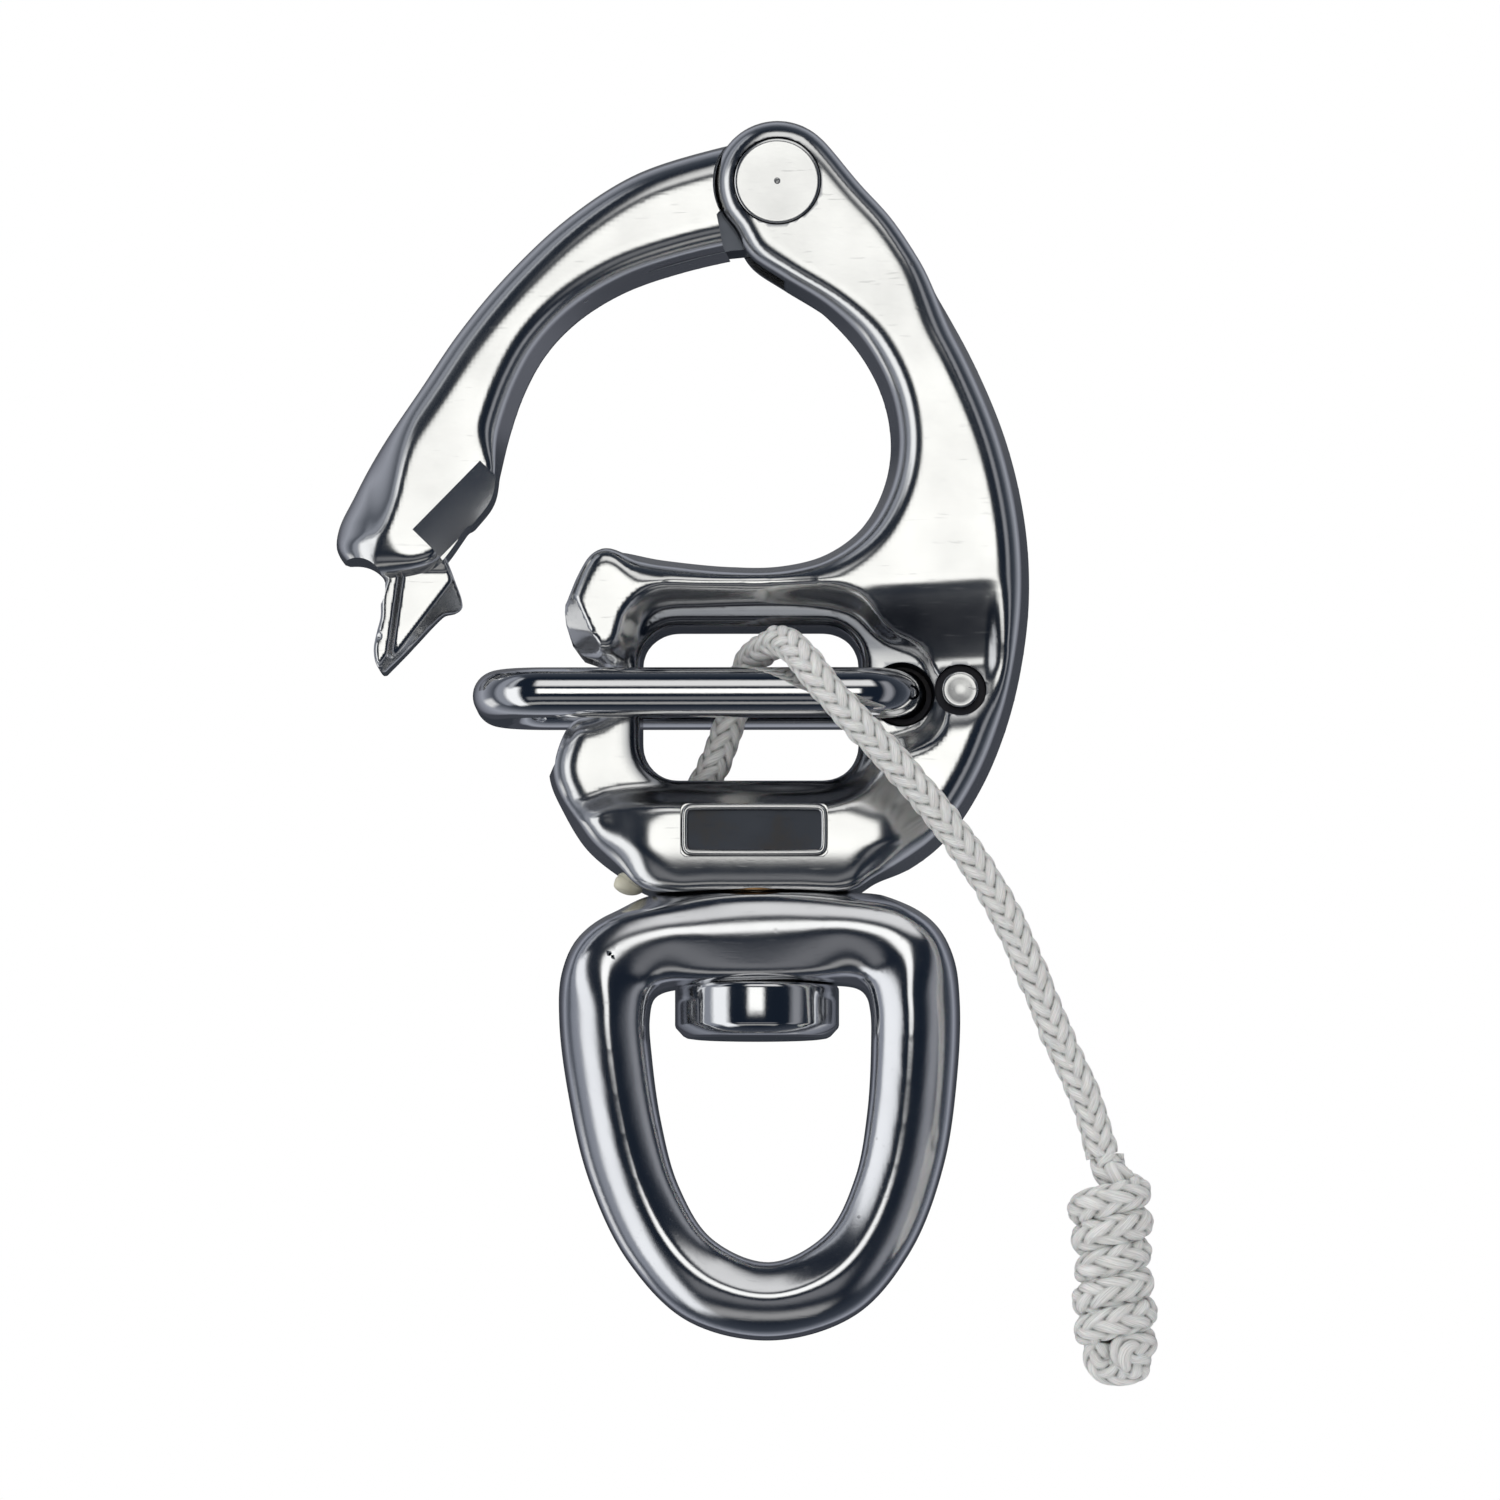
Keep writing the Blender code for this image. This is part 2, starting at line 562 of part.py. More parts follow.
def make_eye():
    outer = [(4.0, 26.75), (8.0, 26.65), (11.0, 26.0), (13.3, 24.3), (14.5, 21.8), (14.8, 18.5), (14.4, 13.3)]
    outer += [(13.1, 6.6), (10.4, 0.4), (6.2, -4.1), (0.0, -5.75)]
    inner = [(3.2, 20.8), (6.4, 20.75), (7.7, 20.0), (8.15, 18.4), (8.1, 15.5), (7.6, 10.6), (6.5, 5.9)]
    inner += [(4.2, 1.9), (0.0, 0.0)]
    loops = [spline_points(mirrored(half), 1.9) for half in (outer, inner)]
    eye = plate("swivel_eye", loops, 6.4, 2.4)
    taper_y(eye, lambda z: 1.0 - 0.34 * min(1.0, max(0.0, (21.0 - z) / 16.0)))
    centre = Vector((0, 0, EYE_TILT_CENTRE)) * MM
    tilt = Matrix.Rotation(math.radians(-EYE_TILT_DEG), 4, "Y")
    eye.data.transform(Matrix.Translation(centre) @ tilt @ Matrix.Translation(-centre))
    cut(eye, cylinder_between("eye_bore", (0, 0, 17), (0, 0, 30), STUD_SHANK + TOUCH_GAP, 40))
    return finish(eye, EYE_STEEL)


def make_lanyard():
    points = spline_points(ROPE_ROUTE, 2.4, closed=False)
    return wire("lanyard", points, ROPE_RADIUS, BRAID)


def make_knot():
    """The stopper knot's wraps as one ribbed barrel, with the folded bight under them."""
    radius = KNOT_RADIUS
    top, low = Vector(KNOT_TOP), Vector(KNOT_LOW)
    profile = [(0.0, 0.0), (2.2, -0.25)]
    for wrap in range(KNOT_WRAPS):
        middle = -1.5 - wrap * KNOT_PITCH
        profile += [(radius - 0.35, middle + 0.95), (radius, middle), (radius - 0.35, middle - 0.95)]
    length = (top - low).length
    profile += [(2.9, -length + 1.6), (1.9, -length + 0.35), (0.0, -length)]
    obj = turned_part("stopper_knot", profile, BRAID, 18)
    obj.location = top * MM
    obj.rotation_euler = (low - top).to_track_quat("-Z", "Y").to_euler()
    return obj


def make_rope_end():
    """The heat-sealed end that stops the lanyard under the body."""
    end = cylinder_between("lanyard_end", (-9.4, 0.0, 27.35), (-9.4, 0.0, 27.8), 1.4, 14, 1.65)
    return finish(end, SEALED_BRAID)


make_body()
make_arm()
make_pivot_pin()
make_ring()
make_spring()
make_spring_pin()
make_stud()
make_washer()
make_eye()
make_lanyard()
make_knot()
make_rope_end()
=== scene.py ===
"""Snap shackle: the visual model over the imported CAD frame.

Shapes below are written in millimetres in the CAD's own frame: +Z up, the flat of the shackle in XZ,
the front towards -Y. Forgings are rounded distance fields turned into meshes, machined faces are cut after.
"""

import math

import bmesh
import bpy
import numpy as np
from mathutils import Matrix, Vector


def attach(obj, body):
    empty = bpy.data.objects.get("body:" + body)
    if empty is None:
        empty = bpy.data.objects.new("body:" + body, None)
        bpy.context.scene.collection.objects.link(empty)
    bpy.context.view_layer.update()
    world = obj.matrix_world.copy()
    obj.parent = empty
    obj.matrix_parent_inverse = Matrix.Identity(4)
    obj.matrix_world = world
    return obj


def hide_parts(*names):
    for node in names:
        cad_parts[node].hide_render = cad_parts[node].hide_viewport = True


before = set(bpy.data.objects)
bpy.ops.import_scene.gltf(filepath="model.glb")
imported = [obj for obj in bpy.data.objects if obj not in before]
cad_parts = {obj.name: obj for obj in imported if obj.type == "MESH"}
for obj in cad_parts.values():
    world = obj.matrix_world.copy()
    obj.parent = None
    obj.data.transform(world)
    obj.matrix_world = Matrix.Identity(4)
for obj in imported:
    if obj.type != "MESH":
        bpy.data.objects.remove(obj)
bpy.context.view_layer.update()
MM = 0.001

PIVOT = (1.55, 79.6)
PIN_RADIUS = 3.2
HEAD_RADIUS = 4.65
ARM_CLOSED_DEG = -17.6
BODY_HALF = 5.5
PAD_HALF = 6.2
PLATE_DEPTH = 0.55
RECESS_HALF = 3.95
ARM_HALF = 4.9
TONGUE_HALF = 2.5
FORK_SLOT_HALF = 2.75
RING_PIVOT = (10.7, 41.7)
RING_LEFT = -19.1
RING_WIRE = 1.85
RING_HALF_GAP = 6.1
RING_CORNER = 3.5
SPRING_PIN = (15.0, 42.0)
SPRING_PIN_RADIUS = 1.35
EYE_TILT_DEG = 2.4
EYE_TILT_CENTRE = 23.0
ROPE_RADIUS = 1.24
ARM_STEP = ((-25.2, 54.0), (-21.0, 58.3))
WEDGE_RUN = 2.7
NOTCH_REACH = 3.3
NOSE_LOOP = [
    (-26.6, 52.4), (-27.3, 50.6), (-27.75, 49.0), (-27.8, 47.6), (-28.1, 46.4), (-28.3, 45.2), (-28.1, 44.1),
    (-27.6, 43.5), (-27.0, 44.0), (-25.6, 45.4), (-24.1, 47.0), (-23.1, 47.9), (-22.4, 48.0), (-21.85, 48.4),
    (-21.9, 49.1), (-22.4, 50.5), (-22.9, 51.8), (-23.6, 53.2),
]
ROPE_ROUTE = [
    (-8.6, 0.0, 28.7), (-7.6, 0.0, 30.1), (-6.0, 0.0, 32.4), (-4.45, 0.0, 34.6), (-3.2, 0.0, 36.7),
    (-2.4, 0.0, 38.8), (-1.7, -0.2, 41.0), (-1.0, -1.0, 43.2), (-0.2, -2.6, 44.6), (0.8, -4.6, 45.1),
    (1.6, -6.1, 45.45), (2.4, -7.6, 45.1), (3.5, -9.2, 43.9), (5.0, -10.1, 41.9), (7.4, -10.3, 39.2),
    (10.6, -10.0, 35.8), (14.4, -9.4, 31.2), (17.6, -8.7, 26.4),
    (19.9, -8.2, 21.6), (22.1, -7.8, 16.2), (24.2, -7.6, 11.5), (25.3, -7.5, 7.6),
]
KNOT_TOP, KNOT_LOW = (25.7, -7.5, 6.9), (26.4, -7.5, -8.6)


# ---------------------------------------------------------------- camera and light

CAMERA_ELEVATION_DEG = -4.2
CAMERA_AZIMUTH_DEG = 0.6
VIEW_CENTRE = (-0.52, 0.0, 37.9)
VIEW_WIDTH = 111.0
CAMERA_DISTANCE = 0.75


def make_camera():
    data = bpy.data.cameras.new("camera")
    data.sensor_width = 36.0
    data.lens = 36.0 * CAMERA_DISTANCE / (VIEW_WIDTH * MM)
    data.clip_start = 0.01
    camera = bpy.data.objects.new("camera", data)
    bpy.context.scene.collection.objects.link(camera)
    az, el = math.radians(CAMERA_AZIMUTH_DEG), math.radians(CAMERA_ELEVATION_DEG)
    towards = Vector((math.sin(az) * math.cos(el), -math.cos(az) * math.cos(el), math.sin(el)))
    camera.location = Vector(VIEW_CENTRE) * MM + towards * CAMERA_DISTANCE
    camera.rotation_euler = towards.to_track_quat("Z", "Y").to_euler()
    bpy.context.scene.camera = camera


make_camera()
bpy.context.scene.view_settings.view_transform = "Standard"
bpy.context.scene.view_settings.look = "None"


# ---------------------------------------------------------------- node helpers


class Tree:
    """A short way to build a shader node tree."""

    def __init__(self, tree):
        self.tree = tree

    def add(self, kind, inputs=None, **settings):
        node = self.tree.nodes.new(kind)
        for key, value in settings.items():
            setattr(node, key, value)
        for key, value in (inputs or {}).items():
            self.put(node.inputs[key], value)
        return node

    def put(self, socket, value):
        if isinstance(value, bpy.types.NodeSocket):
            self.tree.links.new(value, socket)
        else:
            socket.default_value = value

    def math(self, operation, a, b=0.0, c=0.0, clamp=False):
        return self.add("ShaderNodeMath", {0: a, 1: b, 2: c}, operation=operation, use_clamp=clamp).outputs[0]

    def ramp(self, value, stops, interpolation="LINEAR"):
        """A colour ramp from (position, colour or grey) pairs."""
        node = self.add("ShaderNodeValToRGB", {0: value})
        node.color_ramp.interpolation = interpolation
        elements = node.color_ramp.elements
        while len(elements) < len(stops):
            elements.new(0.5)
        for element, (place, tone) in zip(elements, stops):
            element.position = place
            element.color = (*tone, 1.0) if isinstance(tone, tuple) else (tone, tone, tone, 1.0)
        return node.outputs[0]

    def noise(self, vector, scale, detail=2.0, roughness=0.5, **inputs):
        values = {"Vector": vector, "Scale": scale, "Detail": detail, "Roughness": roughness, **inputs}
        return self.add("ShaderNodeTexNoise", values).outputs[0]

    def mix(self, factor, a, b):
        node = self.add("ShaderNodeMix", data_type="RGBA")
        self.put(node.inputs[0], factor)
        self.put(node.inputs[6], (*a, 1.0) if isinstance(a, tuple) else a)
        self.put(node.inputs[7], (*b, 1.0) if isinstance(b, tuple) else b)
        return node.outputs[2]


def new_look(name):
    """A new material, its node tree and its shader."""
    made = bpy.data.materials.new(name)
    made.use_nodes = True
    return made, Tree(made.node_tree), made.node_tree.nodes["Principled BSDF"]


NAVY = (0.01, 0.016, 0.028)
# The room's tone by the angle from straight ahead, as a share of 180 degrees.
ROOM = [
    (0.0, NAVY), (0.36, NAVY), (0.5, (0.06, 0.07, 0.09)), (0.66, (0.38, 0.4, 0.46)), (0.78, (0.2, 0.21, 0.25)),
    (0.87, (0.06, 0.065, 0.08)), (0.95, (0.035, 0.04, 0.05)),
]
# Each panel: azimuth from and to, elevation from and to, softness, all in degrees; if it is on the camera's side; tone.
PANELS = [
    (-30, 30, -38, -24, 6, True, (0.2, 0.205, 0.22)),
    (-48, 40, -60, -49, 6, True, (0.4, 0.4, 0.4)),
    (-86, -66, -50, 62, 9, True, (0.3, 0.32, 0.37)),
    (-66, -41, -60, 20, 8, True, (1.15, 1.17, 1.2)),
    (-63, -52, 14, 60, 7, True, (0.5, 0.52, 0.56)),
    (50, 66, -40, 44, 9, True, (0.3, 0.31, 0.34)),
    (-16, 36, 25, 52, 9, True, (0.9, 0.9, 0.9)),
    (-12, 10, -8, 12, 6, True, (1.4, 1.4, 1.37)),
    (-25, 25, 10, 50, 6, False, (0.13, 0.135, 0.15)),
    (-25, 25, -50, -14, 8, False, (0.06, 0.065, 0.08)),
    (-84, -60, -36, -14, 8, False, (0.85, 0.86, 0.88)),
]


def make_world():
    """A dark studio with soft panels for the steel to reflect. The camera sees white, and matt things an even light."""
    world = bpy.data.worlds.new("studio")
    world.use_nodes = True
    world.node_tree.nodes.clear()
    t = Tree(world.node_tree)
    direction = t.add("ShaderNodeTexCoord").outputs["Generated"]
    xyz = t.add("ShaderNodeSeparateXYZ", {0: direction}).outputs
    front = t.math("ABSOLUTE", xyz[1])
    azimuth = t.math("DEGREES", t.math("ARCTAN2", xyz[0], front))
    elevation = t.math("DEGREES", t.math("ARCSINE", xyz[2]))
    polar = t.math("DEGREES", t.math("ARCCOSINE", t.math("MULTIPLY", xyz[1], -1.0)))

    def band(value, low, high, soft):
        up = t.math("MULTIPLY_ADD", t.math("SUBTRACT", value, low), 1.0 / soft, 0.5, clamp=True)
        down = t.math("MULTIPLY_ADD", t.math("SUBTRACT", high, value), 1.0 / soft, 0.5, clamp=True)
        return t.math("MULTIPLY", up, down)

    def panel(az_low, az_high, el_low, el_high, soft, where):
        area = t.math("MULTIPLY", band(azimuth, az_low, az_high, soft), band(elevation, el_low, el_high, soft))
        return t.math("MULTIPLY", area, where)

    behind = t.math("MULTIPLY_ADD", xyz[1], 8.0, 0.5, clamp=True)
    ahead = t.math("SUBTRACT", 1.0, behind)
    around = t.math("DIVIDE", polar, 180.0)
    tone = t.ramp(around, ROOM)
    for *ranges, softness, is_ahead, glow in PANELS:
        tone = t.mix(panel(*ranges, softness, ahead if is_ahead else behind), tone, glow)
    light = t.add("ShaderNodeLightPath").outputs
    soft = t.math("MULTIPLY_ADD", xyz[2], 0.35, t.math("MULTIPLY_ADD", xyz[0], -0.42, 0.8))
    tone = t.mix(light["Is Diffuse Ray"], tone, t.add("ShaderNodeCombineXYZ", {0: soft, 1: soft, 2: soft}).outputs[0])
    color = t.mix(light["Is Camera Ray"], tone, (1.0, 1.0, 1.0))
    background = t.add("ShaderNodeBackground", {"Color": color, "Strength": 1.0})
    out = t.add("ShaderNodeOutputWorld")
    world.node_tree.links.new(background.outputs[0], out.inputs[0])
    bpy.context.scene.world = world


make_world()


# ---------------------------------------------------------------- outlines and distance fields


def spline(points, spacing, closed=True):
    """Centripetal Catmull-Rom curve through the points, as an array."""
    pts = np.asarray(points, float)
    count = len(pts)
    made = []
    for i in range(count if closed else count - 1):
        if closed:
            four = pts[[(i + k) % count for k in (-1, 0, 1, 2)]]
        else:
            before = pts[i - 1] if i else 2 * pts[0] - pts[1]
            after = pts[i + 2] if i + 2 < count else 2 * pts[-1] - pts[-2]
            four = np.array([before, pts[i], pts[i + 1], after])
        gaps = np.maximum(np.linalg.norm(np.diff(four, axis=0), axis=1), 1e-9) ** 0.5
        k = np.concatenate([[0], np.cumsum(gaps)])
        steps = max(1, round(float(np.linalg.norm(four[2] - four[1])) / spacing))
        t = (k[1] + (k[2] - k[1]) * np.arange(steps) / steps)[:, None]
        a = [(four[j] * (k[j + 1] - t) + four[j + 1] * (t - k[j])) / (k[j + 1] - k[j]) for j in range(3)]
        b = [(a[j] * (k[j + 2] - t) + a[j + 1] * (t - k[j])) / (k[j + 2] - k[j]) for j in range(2)]
        made.append((b[0] * (k[2] - t) + b[1] * (t - k[1])) / (k[2] - k[1]))
    if not closed:
        made.append(pts[-1:])
    return np.concatenate(made)


def arc(centre, radius, start_deg, end_deg, count):
    a = np.radians(np.linspace(start_deg, end_deg, count))
    return [(centre[0] + radius * math.cos(v), centre[1] + radius * math.sin(v)) for v in a]


def turned(point, centre, degrees):
    a = math.radians(degrees)
    x, z = point[0] - centre[0], point[1] - centre[1]
    return (centre[0] + x * math.cos(a) + z * math.sin(a), centre[1] - x * math.sin(a) + z * math.cos(a))


def polygon_distance(loop, x, z):
    """Signed distance to a closed outline of the XZ plane, negative inside it."""
    loop = np.asarray(loop, float)
    best = np.full(np.broadcast(x, z).shape, np.inf)
    inside = np.zeros(best.shape, bool)
    for (ax, az), (bx, bz) in zip(loop, np.roll(loop, -1, axis=0)):
        ex, ez = bx - ax, bz - az
        length = ex * ex + ez * ez
        if length < 1e-12:
            continue
        t = np.clip(((x - ax) * ex + (z - az) * ez) / length, 0, 1)
        best = np.minimum(best, (x - ax - t * ex) ** 2 + (z - az - t * ez) ** 2)
        if bz != az:
            inside ^= ((az > z) != (bz > z)) & (x < ax + (z - az) / (bz - az) * ex)
    return np.where(inside, -1.0, 1.0) * np.sqrt(best)


class Field:
    """A smooth function of the XZ plane, sampled once on a fine grid and read back by cubic interpolation."""

    def __init__(self, loop, low, high, step=0.22, blur=0.0):
        self.low, self.step = np.array(low, float) - 3 * step, step
        self.count = np.ceil((np.array(high) - self.low) / step).astype(int) + 4
        x = (self.low[0] + step * np.arange(self.count[0]))[:, None]
        z = (self.low[1] + step * np.arange(self.count[1]))[None, :]
        self.values = polygon_distance(loop, x, z)
        for _ in range(round((blur / step) ** 2 * 2)):
            v = np.pad(self.values, 1, mode="edge")
            self.values = (v[1:-1, 1:-1] * 4 + v[2:, 1:-1] + v[:-2, 1:-1] + v[1:-1, 2:] + v[1:-1, :-2]) / 8

    def __call__(self, x, z):
        x, z = np.broadcast_arrays(x, z)
        u = np.clip((x - self.low[0]) / self.step, 1, self.count[0] - 3.001)
        w = np.clip((z - self.low[1]) / self.step, 1, self.count[1] - 3.001)
        i, j = u.astype(int), w.astype(int)
        fu, fw = u - i, w - j

        def weights(f):
            return (
                f * (-0.5 + f * (1.0 - 0.5 * f)),
                1.0 + f * f * (-2.5 + 1.5 * f),
                f * (0.5 + f * (2.0 - 1.5 * f)),
                f * f * (-0.5 + 0.5 * f),
            )

        wu, ww = weights(fu), weights(fw)
        total = 0.0
        for a in range(4):
            row = 0.0
            for b in range(4):
                row = row + self.values[i + a - 1, j + b - 1] * ww[b]
            total = total + row * wu[a]
        return total


def meet(a, b, radius):
    """What two fields share, with a round edge."""
    return np.minimum(-radius, np.maximum(a, b)) + np.hypot(np.maximum(radius + a, 0), np.maximum(radius + b, 0))


def merge(a, b, radius):
    """Two fields joined, with a round fillet."""
    return np.maximum(radius, np.minimum(a, b)) - np.hypot(np.maximum(radius - a, 0), np.maximum(radius - b, 0))


def smooth(value, low, high):
    t = np.clip((value - low) / (high - low), 0, 1)
    return t * t * (3 - 2 * t)


def surface(shape, low, high, step, relax=2):
    """The zero surface of a field as (points, quads): a surface net, then moved onto the true surface."""
    axes = [np.arange(a, b + step, step) for a, b in zip(low, high)]
    x, y, z = axes[0][:, None, None], axes[1][None, :, None], axes[2][None, None, :]
    f = np.broadcast_to(shape(x, y, z), [len(a) for a in axes]).astype(float)
    inside = f < 0
    cells = [n - 1 for n in f.shape]
    corner = {}
    for bits in range(8):
        o = [(bits >> k) & 1 for k in range(3)]
        corner[tuple(o)] = tuple(slice(o[k], o[k] + cells[k]) for k in range(3))
    count = sum(inside[c].astype(np.int8) for c in corner.values())
    mixed = (count > 0) & (count < 8)
    index = np.full(cells, -1)
    index[mixed] = np.arange(mixed.sum())
    total, hits = np.zeros((mixed.sum(), 3)), np.zeros(mixed.sum())
    for axis in range(3):
        for a in (0, 1):
            for b in (0, 1):
                o = [a, b]
                o.insert(axis, 0)
                e = list(o)
                e[axis] = 1
                f0, f1 = f[corner[tuple(o)]][mixed], f[corner[tuple(e)]][mixed]
                crossing = (f0 < 0) != (f1 < 0)
                t = np.where(crossing, f0 / np.where(crossing, f0 - f1, 1), 0)
                place = np.repeat(np.array([o], float), len(t), 0)
                place[:, axis] = t
                total += place * crossing[:, None]
                hits += crossing
    base = np.argwhere(mixed)
    points = np.array(low) + (base + total / hits[:, None]) * step
    quads = []
    for axis in range(3):
        b, c = (axis + 1) % 3, (axis + 2) % 3
        near = [slice(1, -1)] * 3
        near[axis] = slice(0, -1)
        far = list(near)
        far[axis] = slice(1, None)
        s0, s1 = inside[tuple(near)], inside[tuple(far)]
        change = s0 != s1
        at = np.argwhere(change)
        at[:, b] += 1
        at[:, c] += 1
        ring = []
        for db, dc in ((-1, -1), (0, -1), (0, 0), (-1, 0)):
            cell = at.copy()
            cell[:, b] += db
            cell[:, c] += dc
            ring.append(index[tuple(cell.T)])
        quad = np.stack(ring, 1)
        flip = ~s0[change]
        quad[flip] = quad[flip][:, ::-1]
        quads.append(quad)
    quads = np.concatenate(quads)

    def snap(p):
        e = 0.02
        f0 = shape(p[:, 0], p[:, 1], p[:, 2])
        grad = np.stack([shape(*(p + d * e).T) - f0 for d in np.eye(3)], 1) / e
        size = np.maximum((grad**2).sum(1), 0.05)
        move = -f0 / size
        limit = step / np.maximum(np.abs(move) * np.sqrt(size), 1e-9)
        return p + grad * (move * np.minimum(1.0, limit))[:, None]

    points = snap(points)
    edges = np.concatenate([quads[:, [k, (k + 1) % 4]] for k in range(4)])
    edges = np.concatenate([edges, edges[:, ::-1]])
    degree = np.bincount(edges[:, 0], minlength=len(points))[:, None]
    for _ in range(relax):
        pull = np.stack([np.bincount(edges[:, 0], points[edges[:, 1], k], len(points)) for k in range(3)], 1)
        points = snap(points * 0.5 + 0.5 * pull / degree)
    return points, quads


# ---------------------------------------------------------------- mesh helpers


def add_object(name, mesh):
    obj = bpy.data.objects.new(name, mesh)
    bpy.context.scene.collection.objects.link(obj)
    return obj


def mesh_object(name, points, faces):
    mesh = bpy.data.meshes.new(name)
    mesh.from_pydata((np.asarray(points, float) * MM).tolist(), [], [list(map(int, f)) for f in faces])
    mesh.validate()
    return add_object(name, mesh)


def bmesh_object(name, shape):
    mesh = bpy.data.meshes.new(name)
    shape.to_mesh(mesh)
    shape.free()
    return add_object(name, mesh)


def outward(obj):
    shape = bmesh.new()
    shape.from_mesh(obj.data)
    bmesh.ops.recalc_face_normals(shape, faces=shape.faces)
    if shape.calc_volume(signed=True) < 0:
        bmesh.ops.reverse_faces(shape, faces=shape.faces)
    shape.to_mesh(obj.data)
    shape.free()
    return obj


def extruded(name, one, two):
    """The solid between two outlines of equally many points."""
    count = len(one)
    faces = [list(range(count)), list(range(2 * count - 1, count - 1, -1))]
    faces += [[i, i + count, (i + 1) % count + count, (i + 1) % count] for i in range(count)]
    return outward(mesh_object(name, one + two, faces))


def prism(loop, low, high, name="cutter"):
    """An outline of the XZ plane carried along Y."""
    return extruded(name, [(x, low, z) for x, z in loop], [(x, high, z) for x, z in loop])


def bar(start, end, radius, sides=48, end_radius=None, name="cutter"):
    a, b = Vector(start) * MM, Vector(end) * MM
    shape = bmesh.new()
    top = radius if end_radius is None else end_radius
    bmesh.ops.create_cone(
        shape, cap_ends=True, segments=sides, radius1=radius * MM, radius2=top * MM, depth=(b - a).length
    )
    turn = (b - a).to_track_quat("Z", "Y").to_matrix().to_4x4()
    bmesh.ops.transform(shape, matrix=Matrix.Translation((a + b) / 2) @ turn, verts=shape.verts)
    return bmesh_object(name, shape)


def edge_prism(start, end, profile, before, after):
    """A prism along an edge of the XZ plane, its profile in (distance to the edge's right, Y)."""
    start, end = Vector(start), Vector(end)
    along = (end - start).normalized()
    inwards = Vector((along.y, -along.x))
    bases = (start - along * before, end + along * after)
    ends = [[(base.x + inwards.x * n, y, base.y + inwards.y * n) for n, y in profile] for base in bases]
    return extruded("cutter", *ends)


def apply_booleans(target, steps, look):
    """Cuts or joins each object in turn, then removes it. A face that a cutter makes takes the cutter's material."""
    target.data.materials.append(look)
    for operation, other in steps:
        if not other.data.materials:
            other.data.materials.append(look)
        modifier = target.modifiers.new("boolean", "BOOLEAN")
        modifier.operation, modifier.solver, modifier.object = operation, "EXACT", other
        modifier.material_mode = "TRANSFER"
    graph = bpy.context.evaluated_depsgraph_get()
    mesh = bpy.data.meshes.new_from_object(target.evaluated_get(graph))
    target.modifiers.clear()
    old = target.data
    target.data = mesh
    bpy.data.meshes.remove(old)
    for _, other in steps:
        bpy.data.objects.remove(other, do_unlink=True)


def dress(obj, look, body, sharp_deg=40.0):
    if not obj.data.materials:
        obj.data.materials.append(look)
    if obj.type == "MESH":
        obj.data.shade_smooth()
        obj.data.set_sharp_from_angle(angle=math.radians(sharp_deg))
    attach(obj, body)
    return obj


# ---------------------------------------------------------------- materials


# CAVITY_SHADE is painted shade for the forging's hollows; PIT_BROWN and GRIME_BROWN are the steel's own marks.
PIT_BROWN, GRIME_BROWN, CAVITY_SHADE = (0.09, 0.075, 0.06), (0.12, 0.11, 0.1), (0.09, 0.1, 0.125)
HAIR_SCALE = (420, 5200, 3600)


def steel(name, color, roughness, pits=1.0, scratch=1.0, dirt=0.0):
    """Stainless steel: a fine grain, pits, hair scratches and a varied polish, with painted shade towards CAVITY_SHADE
    where a shade mask is stored.
    """
    made, t, shader = new_look(name)
    shader.inputs["Metallic"].default_value = 1.0
    place = t.add("ShaderNodeTexCoord").outputs["Object"]
    cloud = t.noise(place, 160.0, 3.0, 0.55)
    fine = t.noise(place, 2600.0, 2.0, 0.6)
    spots = t.add("ShaderNodeTexVoronoi", {"Vector": place, "Scale": 420.0, "Randomness": 1.0}).outputs["Distance"]
    some = t.noise(place, 210.0, 1.0, 0.5)
    pit = t.math("MULTIPLY", t.ramp(spots, [(0.0, 1.0), (0.11, 0.0)]), t.ramp(some, [(0.56, 0.0), (0.62, 1.0)]))
    stretch = t.add("ShaderNodeMapping", {"Vector": place, "Rotation": (0.3, 0.8, 0.5), "Scale": HAIR_SCALE})
    hair = t.ramp(t.noise(stretch.outputs[0], 1.0, 2.0, 0.5), [(0.66, 0.0), (0.72, 1.0)])
    rough = t.math("MULTIPLY_ADD", cloud, 0.16, roughness - 0.07)
    rough = t.math("MULTIPLY_ADD", hair, 0.05 * scratch, rough)
    rough = t.math("MULTIPLY_ADD", pit, 0.25 * pits, rough, clamp=True)
    tint = t.mix(t.math("MULTIPLY", cloud, 0.5), color, tuple(c * 0.9 for c in color))
    tint = t.mix(t.math("MULTIPLY", pit, 0.75 * pits), tint, PIT_BROWN)
    if dirt:
        grime = t.ramp(t.noise(place, 320.0, 4.0, 0.65), [(0.5, 0.0), (0.68, 1.0)])
        tint = t.mix(t.math("MULTIPLY", grime, dirt), tint, GRIME_BROWN)
    # Painted shade: the stored mask pulls the colour towards CAVITY_SHADE where the forging's hollows lie in shade.
    painted_shade = t.add("ShaderNodeVertexColor", layer_name="painted_shade").outputs["Color"]
    tint = t.mix(t.math("MULTIPLY", painted_shade, 0.85), tint, CAVITY_SHADE)
    height = t.math("MULTIPLY_ADD", fine, 0.3, t.math("MULTIPLY", pit, -2.2 * pits))
    height = t.math("MULTIPLY_ADD", hair, -0.1 * scratch, height)
    height = t.math("MULTIPLY_ADD", cloud, 0.7, height)
    bump = t.add("ShaderNodeBump", {"Height": height, "Strength": 0.35, "Distance": 0.00002})
    t.put(shader.inputs["Base Color"], tint)
    t.put(shader.inputs["Roughness"], rough)
    t.put(shader.inputs["Normal"], bump.outputs[0])
    return made


